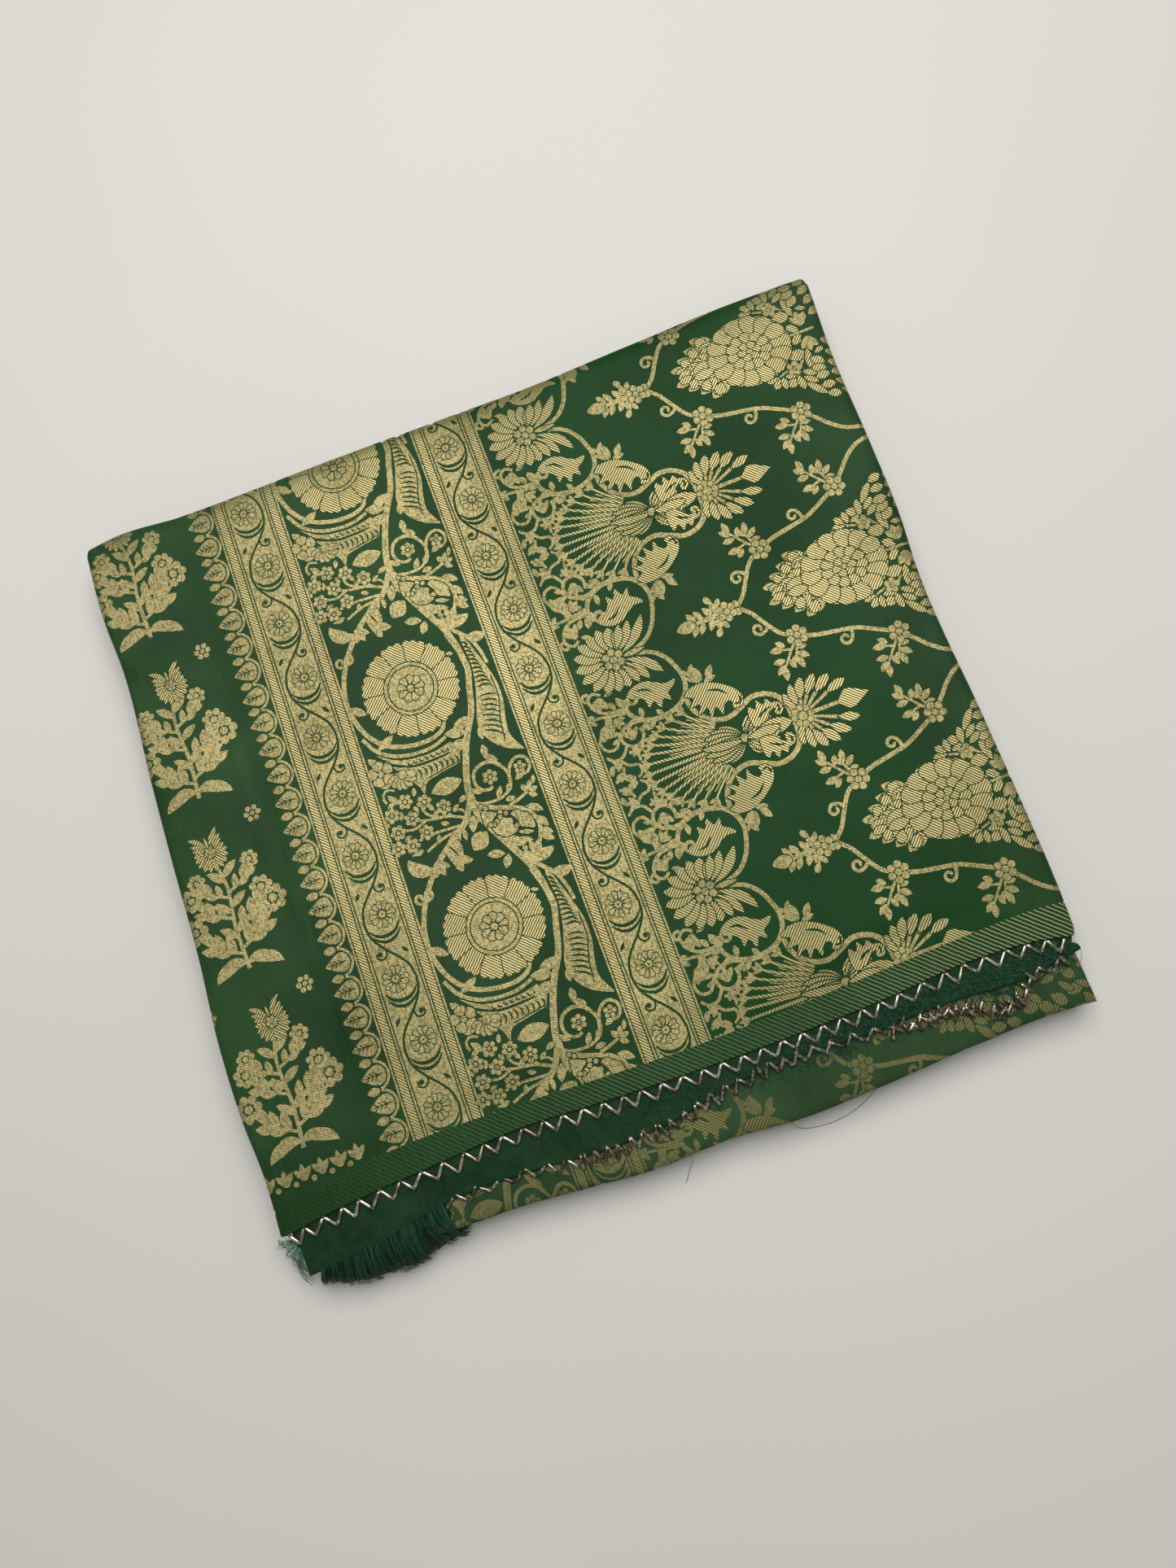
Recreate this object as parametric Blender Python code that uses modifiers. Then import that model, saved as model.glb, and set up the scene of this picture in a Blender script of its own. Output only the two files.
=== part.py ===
"""A sari folded into a flat packet: brocade silk, folded in four across its width and then over and over
along its length. Metres, +Z up. X runs along the selvedges, Y from the selvedges to the top fold."""

import math

import bmesh
import bpy
import numpy as np
from mathutils import Vector

MM = 0.001

# Heights of the packet, from the table up
HEIGHT = 20.0 * MM
WALL = 1.2 * MM
LAYER_WALL = 1.0 * MM
GAP = 0.3 * MM
SHELF = 11.7 * MM
RIM_FOOT = 15.1 * MM
SELVEDGE_SINK = 1.0 * MM
SINK_WIDTH = 26.0 * MM
VALLEY_START = 45.0 * MM

# How far the rolled edges of the top stretch reach, and how far round they turn
END_ROLL = 2.5 * MM
TOP_ROLL = 6.0 * MM
ROLL_TURN = math.radians(160)
ROLL_STEPS = 7
CORNER_FAN = 3

# Plan of the packet's edges: where along the edge, and where across it, in millimetres
LEFT_EDGE = (
    # (y, x)
    (155.3, -151.3),
    (124.8, -152.7),
    (99.8, -151.5),
    (52.8, -154.3),
    (20.8, -155.9),
    (-19.2, -157.4),
    (-55.2, -160.2),
    (-86.2, -160.2),
    (-104.2, -158.9),
    (-131.2, -159.8),
    (-157.2, -160.2),
)
RIGHT_EDGE = (
    # (y, x)
    (155.3, 168.3),
    (122.8, 165.2),
    (77.8, 164.0),
    (45.8, 162.7),
    (23.8, 160.1),
    (-45.2, 159.3),
    (-116.2, 158.1),
    (-157.2, 155.5),
)
TOP_EDGE = (
    # (x, y)
    (-150.5, 155.3),
    (-138.5, 156.8),
    (-109.5, 155.1),
    (-46.5, 155.0),
    (11.5, 154.6),
    (40.5, 154.2),
    (84.5, 155.8),
    (121.5, 157.2),
    (151.5, 157.2),
    (168.5, 156.8),
)
SELVEDGE = (
    # (x, y)
    (-159.8, -128.5),
    (-140.6, -126.2),
    (-101.5, -124.0),
    (-62.4, -122.7),
    (-24.6, -125.1),
    (39.3, -127.4),
    (78.4, -127.3),
    (118.3, -125.7),
    (143.5, -128.0),
    (158.0, -131.4),
)
SECOND_EDGE = (
    # (x, y)
    (-154.5, -144.8),
    (-127.8, -143.0),
    (-96.9, -138.2),
    (-66.4, -138.7),
    (-33.5, -141.7),
    (-9.3, -140.7),
    (10.3, -137.2),
    (41.7, -135.2),
    (71.5, -137.2),
    (104.8, -137.2),
    (130.6, -139.2),
    (155.5, -136.2),
)
FOLD_EDGE = (
    # (x, y)
    (-160.0, -139.0),
    (-127.0, -144.2),
    (-100.0, -148.8),
    (-73.0, -150.0),
    (-48.0, -152.5),
    (-23.4, -155.1),
    (9.0, -154.9),
    (35.6, -157.4),
    (66.6, -157.2),
    (106.4, -155.7),
    (139.3, -155.5),
    (155.4, -156.8),
)

# The soft valley beside the leaf border, and two shallow waves further right, in millimetres
VALLEYS = (
    # (x at the selvedge, x at the top fold, half width, depth)
    (-121.0, -113.0, 9.0, 0.7),
    (-8.0, 4.0, 20.0, 0.3),
    (92.0, 104.0, 16.0, 0.4),
)

# The top stretch's grid of faces
PANEL_COLUMNS = 18
PANEL_ROWS = 15

# The hidden strips, from the table up, in millimetres: heights, then how far each fold's edge stands back
# from the packet's outline, and how far its rounded edge bulges
HIDDEN_FOLDS = (
    # (foot, head, ends, top fold, front, bulge)
    (0.0, 3.8, 1.6, 1.5, 3.2, 1.7),
    (3.9, 7.7, 0.8, 2.6, 2.0, 1.9),
    (7.8, 11.65, 1.9, 0.9, 3.4, 1.8),
    (11.7, 14.7, 0.7, 2.0, 22.0, 1.4),
)
PACKING = (14.75, 17.6, 3.4, 6.8, 50.0, 0.0)
FOLD_CURVE = (
    # (share of the fold's height, share of its bulge that it stands back)
    (0.0, 1.15),
    (0.14, 0.57),
    (0.5, 0.0),
    (0.86, 0.57),
    (1.0, 1.15),
)
CORNER_BEND = 3.5 * MM
CORNER_SHARES = (0.25, 0.5, 0.75)
END_POINTS = 12
LONG_POINTS = 16

# The stretches that show in front of the selvedge
SECOND_LEFT = -154.5 * MM
SECOND_COLUMNS = 30
SECOND_ROWS = 6
BOTTOM_LEFT = -154.0 * MM
BOTTOM_COLUMNS = 26
LAYER_REACH_IN = 46.0 * MM
LOWER_LEG = 18.0 * MM
LEG_SHARES = (1.0, 0.55, 0.3, 0.12, 0.03)
FOLD_NOSE_REACH = 4.5 * MM
NOSE_STEPS = 6
FOLD_HEIGHT = 4.2 * MM
FRONT_SLOPE = 0.06
ROLL_CLEAR = 3.9 * MM
CLEAR_FROM = 0.8 * MM
CLEAR_OVER = 4.0 * MM

# Fringe of the cut end, and the tuft at the packet's corner
STRAND_WIDTH_SHARE = 0.58
STRAND_RISE_SHARE = 0.41
STRAND_TIP = 0.55
STRAND_STEPS = 4
FRINGE_STRANDS = 84
FRINGE_FROM = -151.5 * MM
FRINGE_TO = -102.0 * MM
FRINGE_STRIP = 2.0 * MM
FRINGE_REACH = (
    # (x of the root, drift along the edge, reach ahead, height of the tip), in millimetres
    (-151.5, -1.5, -4.5, 2.0),
    (-146.0, -1.0, -8.5, 1.4),
    (-137.0, 0.5, -11.5, 1.2),
    (-126.0, 1.5, -13.5, 1.6),
    (-114.0, 1.0, -14.8, 3.0),
    (-102.0, 2.0, -14.5, 5.5),
)
TUFT_STRANDS = 12
TUFT_STRIP = 1.6 * MM
TUFT_WALL = 0.8 * MM
TUFT_X = -155.9 * MM
TUFT_FROM = -131.6 * MM
TUFT_TO = -137.4 * MM
TUFT_FOOT = 14.8 * MM
TUFT_REACH = (
    # (y of the root, reach outwards, reach ahead, height of the tip), in millimetres
    (-131.6, -12.3, 0.5, 6.0),
    (-133.3, -8.8, -4.0, 3.0),
    (-135.4, -6.9, -8.4, 1.5),
    (-137.4, -4.7, -10.6, 1.2),
)

# Cloth colours, linear
LEAF_GREEN = (0.017, 0.072, 0.030, 1.0)
DEEP_GREEN = (0.010, 0.047, 0.020, 1.0)
PALE_GOLD = (0.36, 0.29, 0.15, 1.0)


def smooth(table, at, column=1):
    """The value of one column at a place along a table, on a curve through every row."""
    rows = sorted(table)
    places = np.array([row[0] for row in rows])
    values = np.array([row[column] for row in rows])
    slopes = np.gradient(values, places)
    at = float(np.clip(at, places[0], places[-1]))
    i = int(np.clip(np.searchsorted(places, at) - 1, 0, len(places) - 2))
    span = places[i + 1] - places[i]
    u = (at - places[i]) / span
    start = (1 + 2 * u) * (1 - u) ** 2 * values[i] + u * (1 - u) ** 2 * span * slopes[i]
    end = u * u * (3 - 2 * u) * values[i + 1] + u * u * (u - 1) * span * slopes[i + 1]
    return float(start + end)


def edge(table, at):
    """An edge table read in metres."""
    return smooth(table, at / MM) * MM


def mix(a, b, share):
    return a + (b - a) * share


def ease(share):
    share = min(max(share, 0.0), 1.0)
    return share * share * (3 - 2 * share)


def panel_height(x, y):
    """Height of the top stretch's face, with its valleys and the sink towards the selvedge."""
    behind = y - edge(SELVEDGE, x)
    along = behind / (edge(TOP_EDGE, x) - edge(SELVEDGE, x))
    sink = SELVEDGE_SINK * (1 - ease(behind / SINK_WIDTH))
    for low_x, high_x, half_width, depth in VALLEYS:
        off = (x / MM - mix(low_x, high_x, along)) / half_width
        sink += depth * MM * math.exp(-off * off) * ease(behind / VALLEY_START)
    return HEIGHT - sink


def front_height(x, y):
    """Height of the lowest fold's upper face, which falls slowly in front of the selvedge."""
    ahead = max(edge(SELVEDGE, x) - y, 0.0)
    return SHELF + GAP + FOLD_HEIGHT - FRONT_SLOPE * ahead


def front_right(x, y):
    """Where the stretches in front of the selvedge end, clear of the top stretch's rolled end behind it."""
    ahead = edge(SELVEDGE, x) - y
    return edge(RIGHT_EDGE, y) - ROLL_CLEAR * (1 - ease((ahead - CLEAR_FROM) / CLEAR_OVER))


def new_material(name, colour, roughness, metallic=0.0):
    material = bpy.data.materials.new(name)
    material.use_nodes = True
    shader = material.node_tree.nodes["Principled BSDF"]
    shader.inputs["Base Color"].default_value = colour
    shader.inputs["Roughness"].default_value = roughness
    shader.inputs["Metallic"].default_value = metallic
    return material


def finish_piece(bm, name, material, wall=None):
    """Turns a bmesh into one named object, thickened inwards where a wall is given."""
    mesh = bpy.data.meshes.new(name)
    bm.to_mesh(mesh)
    bm.free()
    mesh.materials.append(material)
    mesh.shade_smooth()
    mesh.set_sharp_from_angle(angle=math.radians(50))
    piece = bpy.data.objects.new(name, mesh)
    packet.objects.link(piece)
    if wall:
        solid = piece.modifiers.new("Cloth wall", "SOLIDIFY")
        solid.thickness = wall
        solid.offset = -1.0
    return piece


def faces_between(bm, rows):
    """Faces between rows of vertices, as triangles where two neighbours share a vertex."""
    for near, far in zip(rows, rows[1:]):
        for i in range(len(near) - 1):
            around = (near[i], near[i + 1], far[i + 1], far[i])
            corners = [v for n, v in enumerate(around) if v not in around[:n]]
            if len(corners) > 2:
                bm.faces.new(corners)


def open_sheet(bm, name, material, wall):
    """An open sheet, with its first face looking up, as a named wall of cloth."""
    bmesh.ops.recalc_face_normals(bm, faces=bm.faces)
    bm.faces.ensure_lookup_table()
    if bm.faces[0].normal.z < 0:
        bmesh.ops.reverse_faces(bm, faces=bm.faces)
    return finish_piece(bm, name, material, wall)


def closed_solid(bm, name, material):
    """A closed mesh, with its faces looking out, as a named solid."""
    bmesh.ops.recalc_face_normals(bm, faces=bm.faces)
    if bm.calc_volume(signed=True) < 0:
        bmesh.ops.reverse_faces(bm, faces=bm.faces)
    return finish_piece(bm, name, material)


def panel_point(s, t):
    """The point of the top stretch's flat face at shares of its length and of its width."""
    x, y = mix(LEFT_EDGE[0][1], RIGHT_EDGE[0][1], s) * MM, 0.0
    for _ in range(4):
        y = mix(edge(SELVEDGE, x), edge(TOP_EDGE, x) - TOP_ROLL, t)
        x = mix(edge(LEFT_EDGE, y) + END_ROLL, edge(RIGHT_EDGE, y) - END_ROLL, s)
    return x, y, panel_height(x, y)


def fan(first, last, k):
    """The reach of one rib where a rolled end meets the rolled top fold."""
    turn = 0.5 * math.pi * k / CORNER_FAN
    return first * math.cos(turn) + last * math.sin(turn)


def top_panel():
    """The top quarter of the width: flat, with its two ends and its top fold rolled under."""
    bm = bmesh.new()
    grid = []
    for j in range(PANEL_ROWS + 1):
        shares = [(i / PANEL_COLUMNS, j / PANEL_ROWS) for i in range(PANEL_COLUMNS + 1)]
        grid.append([bm.verts.new(panel_point(s, t)) for s, t in shares])
    faces_between(bm, grid)

    left, up, right = Vector((-END_ROLL, 0, 0)), Vector((0, TOP_ROLL, 0)), Vector((END_ROLL, 0, 0))
    far = grid[PANEL_ROWS]
    stations = [(line[0], left) for line in grid]
    stations += [(far[0], fan(left, up, k)) for k in range(1, CORNER_FAN)]
    stations += [(vertex, up) for vertex in far]
    stations += [(far[-1], fan(up, right, k)) for k in range(1, CORNER_FAN)]
    stations += [(line[-1], right) for line in reversed(grid)]
    rings = [[vertex for vertex, _ in stations]]
    for step in range(1, ROLL_STEPS + 1):
        turn = ROLL_TURN * step / ROLL_STEPS
        ring = []
        for vertex, reach in stations:
            half_fold = (vertex.co.z - RIM_FOOT) / (1 - math.cos(ROLL_TURN))
            place = vertex.co + reach * math.sin(turn)
            place.z -= half_fold * (1 - math.cos(turn))
            ring.append(bm.verts.new(place))
        rings.append(ring)
    faces_between(bm, rings)
    return open_sheet(bm, "top_panel", new_material("Brocade face", PALE_GOLD, 0.42, 0.2), WALL)


def second_layer():
    """The quarter under the top one, wrong side up, as far as it shows and on under the top stretch."""
    bm = bmesh.new()
    grid = []
    for j in range(SECOND_ROWS + 1):
        line = []
        for i in range(SECOND_COLUMNS + 1):
            share = i / SECOND_COLUMNS
            x = mix(SECOND_LEFT, RIGHT_EDGE[-1][1] * MM, share)
            y = mix(edge(SECOND_EDGE, x), edge(FOLD_EDGE, x) + LAYER_REACH_IN, (j / SECOND_ROWS) ** 1.5)
            x = mix(SECOND_LEFT, front_right(x, y), share)
            line.append(bm.verts.new((x, y, front_height(x, y) + GAP + LAYER_WALL)))
        grid.append(line)
    faces_between(bm, grid)
    return open_sheet(bm, "second_layer", new_material("Wrong side", DEEP_GREEN, 0.5), LAYER_WALL)


def fold_section(x):
    """The lowest fold's section as (y, z): upper leg, nose and lower leg."""
    nose_y = edge(FOLD_EDGE, x)
    bend_y = nose_y + FOLD_NOSE_REACH
    legs = [bend_y + share * (LAYER_REACH_IN - FOLD_NOSE_REACH) for share in LEG_SHARES]
    section = [(y, front_height(x, y)) for y in legs]
    low = SHELF + GAP
    half = 0.5 * (front_height(x, bend_y) - low)
    for k in range(NOSE_STEPS + 1):
        turn = math.pi * k / NOSE_STEPS
        section.append((bend_y - FOLD_NOSE_REACH * math.sin(turn), low + half + half * math.cos(turn)))
    return section + [(nose_y + LOWER_LEG, low)]


def bottom_fold():
    """The fold halfway across the width, face up, which lies lowest and reaches furthest forward."""
    bm = bmesh.new()
    grid = []
    for i in range(BOTTOM_COLUMNS + 1):
        share = i / BOTTOM_COLUMNS
        x = mix(BOTTOM_LEFT, RIGHT_EDGE[-1][1] * MM, share)
        places = [(mix(BOTTOM_LEFT, front_right(x, y), share), y, z) for y, z in fold_section(x)]
        grid.append([bm.verts.new(place) for place in places])
    faces_between(bm, grid)
    return open_sheet(bm, "bottom_fold", new_material("Brocade fold", PALE_GOLD, 0.45, 0.2), LAYER_WALL)


def left_side(y, back):
    return Vector((edge(LEFT_EDGE, y) + back, y, 0))


def right_side(y, back):
    return Vector((edge(RIGHT_EDGE, y) - back, y, 0))


def far_side(x, back):
    return Vector((x, edge(TOP_EDGE, x) - back, 0))


def near_side(x, back):
    return Vector((x, edge(FOLD_EDGE, x) + back, 0))


def meeting(end_side, end_back, long_side, long_back):
    """The corner where an end of the packet meets its near or far side."""
    corner = end_side(0.0, end_back)
    for _ in range(4):
        corner = end_side(long_side(corner.x, long_back).y, end_back)
    return corner


def packet_ring(ends, top, front):
    """Points once round the packet, standing back from its four sides, with bent corners."""
    near_left = meeting(left_side, ends, near_side, front)
    far_left = meeting(left_side, ends, far_side, top)
    far_right = meeting(right_side, ends, far_side, top)
    near_right = meeting(right_side, ends, near_side, front)
    bend = CORNER_BEND
    runs = (
        (left_side, ends, near_left.y + bend, far_left.y - bend, END_POINTS),
        (far_side, top, far_left.x + bend, far_right.x - bend, LONG_POINTS),
        (right_side, ends, far_right.y - bend, near_right.y + bend, END_POINTS),
        (near_side, front, near_right.x - bend, near_left.x + bend, LONG_POINTS),
    )
    sides = []
    for side, back, start, stop, count in runs:
        sides.append([side(mix(start, stop, k / (count - 1)), back) for k in range(count)])
    ring = []
    for n, corner in enumerate((far_left, far_right, near_right, near_left)):
        first, last = sides[n][-1], sides[(n + 1) % 4][0]
        ring += sides[n]
        ring += [first * (1 - u) ** 2 + corner * (2 * u * (1 - u)) + last * u * u for u in CORNER_SHARES]
    return ring


def hidden_layers():
    """All the strips under the top one, as one solid with a rounded fold for each at its edges."""
    sections = []
    for foot, head, ends, top, front, bulge in HIDDEN_FOLDS:
        for rise, share in FOLD_CURVE:
            back = bulge * share
            sections.append((mix(foot, head, rise), ends + back, top + back, front + back))
    foot, head, ends, top, front, _ = PACKING
    sections += [(foot, ends, top, front), (head, ends, top, front)]

    bm = bmesh.new()
    rings = []
    for height, *backs in sections:
        ring = packet_ring(*(back * MM for back in backs))
        rings.append([bm.verts.new((point.x, point.y, height * MM)) for point in ring])
    for near, far in zip(rings, rings[1:]):
        faces_between(bm, (near + near[:1], far + far[:1]))
    bm.faces.new(reversed(rings[0]))
    bm.faces.new(rings[-1])
    return closed_solid(bm, "hidden_layers", new_material("Hidden folds", LEAF_GREEN, 0.5))


def strand_rings(bm, root, along, section, route):
    """Rings of one strand from its root to its tip, square to its route."""
    rings = []
    for k in range(STRAND_STEPS + 1):
        u = k / STRAND_STEPS
        tangent = (route(min(u + 0.05, 1.0)) - route(max(u - 0.05, 0.0))).normalized()
        if k == 0:
            tangent = Vector((along.y, -along.x, 0))
        side = (along - tangent * along.dot(tangent)).normalized()
        rise = tangent.cross(side)
        thin = mix(1.0, STRAND_TIP, u)
        offsets = [(side * a + rise * b) * thin for a, b in section]
        rings.append([bm.verts.new(root + route(u) + offset) for offset in offsets])
    return rings


def fringed_strip(name, material, roots, inward, wall, route_of):
    """A narrow strip with one strand growing from each cell of its outer side."""
    bm = bmesh.new()
    lift = Vector((0, 0, wall))
    outer_low = [bm.verts.new(p) for p in roots]
    outer_high = [bm.verts.new(p + lift) for p in roots]
    inner_low = [bm.verts.new(p + inward) for p in roots]
    inner_high = [bm.verts.new(p + inward + lift) for p in roots]
    faces_between(bm, (outer_low, inner_low, inner_high, outer_high))
    for end in (0, -1):
        bm.faces.new((outer_low[end], inner_low[end], inner_high[end], outer_high[end]))
    for i in range(len(roots) - 1):
        cell = [outer_low[i], outer_low[i + 1], outer_high[i + 1], outer_high[i]]
        along = (roots[i + 1] - roots[i]).normalized()
        half_width = 0.5 * (roots[i + 1] - roots[i]).length * STRAND_WIDTH_SHARE
        half_rise = 0.5 * wall * STRAND_RISE_SHARE
        section = [(-half_width, -half_rise), (half_width, -half_rise)]
        section += [(half_width, half_rise), (-half_width, half_rise)]
        root = 0.5 * (roots[i] + roots[i + 1] + lift)
        rings = strand_rings(bm, root, along, section, route_of(root))
        faces_between(bm, (cell + cell[:1], rings[0] + rings[0][:1]))
        for near, far in zip(rings, rings[1:]):
            faces_between(bm, (near + near[:1], far + far[:1]))
        bm.faces.new(rings[-1])
    return closed_solid(bm, name, material)


def fringe():
    """The fringe of the cut end, fanned out in front of the second layer's left corner."""
    roots = []
    for i in range(FRINGE_STRANDS + 1):
        x = mix(FRINGE_FROM, FRINGE_TO, i / FRINGE_STRANDS)
        y = edge(SECOND_EDGE, x) - GAP
        roots.append(Vector((x, y - FRINGE_STRIP, front_height(x, y) + GAP)))

    def route_of(root):
        drift, ahead, tip = (smooth(FRINGE_REACH, root.x / MM, column) * MM for column in (1, 2, 3))
        fall = root.z - tip
        return lambda u: Vector((drift * u, ahead * math.sin(0.5 * math.pi * u), -fall * u**2.6))

    thread = new_material("Fringe thread", DEEP_GREEN, 0.6)
    return fringed_strip("fringe", thread, roots, Vector((0, FRINGE_STRIP, 0)), LAYER_WALL, route_of)


def corner_tuft():
    """The loose threads that stand out at the packet's lower left corner."""
    shares = [i / TUFT_STRANDS for i in range(TUFT_STRANDS + 1)]
    roots = [Vector((TUFT_X, mix(TUFT_FROM, TUFT_TO, share), TUFT_FOOT)) for share in shares]

    def route_of(root):
        outwards, ahead, tip = (smooth(TUFT_REACH, root.y / MM, column) * MM for column in (1, 2, 3))
        fall = root.z - tip
        return lambda u: Vector((outwards * math.sin(0.5 * math.pi * u), ahead * u**1.4, -fall * u**2.2))

    thread = new_material("Tuft thread", DEEP_GREEN, 0.6)
    return fringed_strip("corner_tuft", thread, roots, Vector((TUFT_STRIP, 0, 0)), TUFT_WALL, route_of)


def centre_on_origin(pieces):
    """Moves the packet so that the middle of its footprint stands on the origin."""
    bpy.context.view_layer.update()
    graph = bpy.context.evaluated_depsgraph_get()
    corners = []
    for piece in pieces:
        shape = piece.evaluated_get(graph)
        corners += [shape.matrix_world @ Vector(corner) for corner in shape.bound_box]
    low = Vector([min(c[axis] for c in corners) for axis in range(3)])
    high = Vector([max(c[axis] for c in corners) for axis in range(3)])
    shift = Vector((-0.5 * (low.x + high.x), -0.5 * (low.y + high.y), -low.z))
    for piece in pieces:
        piece.location += shift


for old in list(bpy.data.objects):
    bpy.data.objects.remove(old, do_unlink=True)
packet = bpy.data.collections.new("Folded sari")
bpy.context.scene.collection.children.link(packet)
made = [hidden_layers(), bottom_fold(), second_layer(), top_panel(), fringe(), corner_tuft()]
centre_on_origin(made)
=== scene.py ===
"""The looks of a brocade sari folded into a flat packet. It is worked out in millimetres on the packet's plan,
which is the CAD model's, and every mesh is then put on the frame in metres."""

import math

import bpy
import numpy as np
from mathutils import Matrix, Vector
from mathutils.geometry import delaunay_2d_cdt


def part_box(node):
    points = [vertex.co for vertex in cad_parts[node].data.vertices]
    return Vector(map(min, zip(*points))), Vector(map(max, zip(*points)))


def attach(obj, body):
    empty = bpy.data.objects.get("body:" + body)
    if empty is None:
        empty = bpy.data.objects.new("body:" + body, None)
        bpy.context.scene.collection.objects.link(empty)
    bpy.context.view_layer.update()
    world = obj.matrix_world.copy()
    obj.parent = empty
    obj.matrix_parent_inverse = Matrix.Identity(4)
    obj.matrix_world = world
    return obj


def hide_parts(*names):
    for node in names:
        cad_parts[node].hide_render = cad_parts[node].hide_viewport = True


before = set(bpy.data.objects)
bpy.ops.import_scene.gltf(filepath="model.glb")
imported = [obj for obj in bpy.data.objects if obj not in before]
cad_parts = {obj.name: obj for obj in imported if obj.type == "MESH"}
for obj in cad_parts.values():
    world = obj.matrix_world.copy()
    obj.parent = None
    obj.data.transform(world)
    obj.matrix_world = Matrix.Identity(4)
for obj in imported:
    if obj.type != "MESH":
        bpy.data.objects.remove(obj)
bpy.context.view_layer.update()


# The strips under the top stretch. The real ones are the rest of the 5.5 m of cloth, folded over and over, with
# about four plies in each fold, so the packet's sides show a stack of soft uneven noses. Here they are one skin
# that runs round the packet, nose above nose, and closes under it where it lies on the table.
LEFT_EDGE = (
    # (y, x)
    (155.3, -151.3), (124.8, -152.7), (99.8, -151.5), (52.8, -154.3), (20.8, -155.9), (-19.2, -157.4),
    (-55.2, -160.2), (-86.2, -160.2), (-104.2, -158.9), (-131.2, -159.8), (-157.2, -160.2),
)
RIGHT_EDGE = (
    # (y, x)
    (155.3, 168.3), (122.8, 165.2), (77.8, 164), (45.8, 162.7), (23.8, 160.1), (-45.2, 159.3),
    (-116.2, 158.1), (-157.2, 155.5),
)
TOP_EDGE = (
    # (x, y)
    (-150.5, 155.3), (-138.5, 156.8), (-109.5, 155.1), (-46.5, 155), (11.5, 154.6), (40.5, 154.2),
    (84.5, 155.8), (121.5, 157.2), (151.5, 157.2), (168.5, 156.8),
)
FOLD_EDGE = (
    # (x, y)
    (-160, -139), (-127, -144.2), (-100, -148.8), (-73, -150), (-48, -152.5), (-23.4, -155.1),
    (9, -154.9), (35.6, -157.4), (66.6, -157.2), (106.4, -155.7), (139.3, -155.5), (155.4, -156.8),
)
STRIP_BUNDLES = (
    # (foot, head, back from the ends, from the top fold, from the front, bulge, strips)
    (0, 3.8, 1.6, 1.5, 3.2, 1.3, 4),
    (3.9, 7.7, 0.8, 2.6, 2, 1.5, 4),
    (7.8, 11.65, 1.9, 0.9, 3.4, 1.4, 4),
    (11.75, 14.85, 0.7, 2, 22, 1.1, 3),
)
NOSE = (
    # (share of the strip's height, how far back its outline stands)
    (0.0, 1.25), (0.16, 0.45), (0.5, 0.0), (0.84, 0.45), (1.0, 1.25),
)
SIDE_POINTS, CORNER_BEND = 64, 3.5
FIRST_CORNER = (0.1545, 0.1448)
UNDERSIDE_RINGS = 12
LEAF_GREEN = (0.026, 0.078, 0.023, 1.0)
DEEP_GREEN = (0.006, 0.031, 0.009, 1.0)
GOLD_THREAD = (0.545, 0.452, 0.212, 1.0)
DIM_GOLD = (0.19, 0.155, 0.055, 1.0)


def run(table, at, column=1):
    """Values on a smooth curve through a table's rows, at many places at once."""
    rows = np.array(sorted(table), dtype=float)
    places, values = rows[:, 0], rows[:, column]
    slopes = np.gradient(values, places)
    at = np.clip(at, places[0], places[-1])
    i = np.clip(np.searchsorted(places, at) - 1, 0, len(places) - 2)
    span = places[i + 1] - places[i]
    u = (at - places[i]) / span
    start = (1 + 2 * u) * (1 - u) ** 2 * values[i] + u * (1 - u) ** 2 * span * slopes[i]
    return start + u * u * (3 - 2 * u) * values[i + 1] + u * u * (u - 1) * span * slopes[i + 1]


def ease(share):
    share = np.clip(share, 0.0, 1.0)
    return share * share * (3 - 2 * share)


def ripple(at, seed, waves=5):
    """A smooth uneven wave between about -1 and 1. Its pitch is about one unit of its argument."""
    rng = np.random.default_rng(seed)
    total = np.zeros(np.shape(at))
    for _ in range(waves):
        total += np.sin(2 * math.pi * (rng.uniform(0.35, 1.4) * np.asarray(at) + rng.uniform()))
    return total / waves**0.5 / 1.1


def on_frame(points):
    """The packet's millimetres in the frame's metres. The second layer's first corner ties the two together."""
    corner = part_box("second_layer")[0]
    shift = np.array([corner[0] + FIRST_CORNER[0], corner[1] + FIRST_CORNER[1], 0.0])
    return np.asarray(points, dtype=float) * 0.001 + shift


def sewn_mesh(name, points, faces, flat, materials, normals=None, threads=None):
    """One piece of cloth or trim from its points in millimetres, with its flat layout as the UV map."""
    mesh = bpy.data.meshes.new(name)
    faces = np.asarray(faces)
    mesh.vertices.add(len(points))
    mesh.vertices.foreach_set("co", on_frame(points).astype(np.float32).ravel())
    mesh.loops.add(faces.size)
    mesh.loops.foreach_set("vertex_index", faces.ravel().astype(np.int32))
    mesh.polygons.add(len(faces))
    mesh.polygons.foreach_set("loop_start", np.arange(0, faces.size, faces.shape[1], dtype=np.int32))
    mesh.update(calc_edges=True)
    layout = mesh.uv_layers.new(name="OFBake")
    flat = np.asarray(flat, dtype=np.float32)
    layout.uv.foreach_set("vector", (flat[faces.ravel()] if len(flat) == len(points) else flat).ravel())
    if threads is not None:
        mesh.attributes.new("thread", "FLOAT", "FACE").data.foreach_set("value", threads.astype(np.float32))
    mesh.shade_smooth()
    if normals is not None:
        mesh.normals_split_custom_set_from_vertices(normals)
    for material in materials:
        mesh.materials.append(material)
    piece = bpy.data.objects.new(name, mesh)
    bpy.context.scene.collection.objects.link(piece)
    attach(piece, "root")
    return piece


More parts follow.
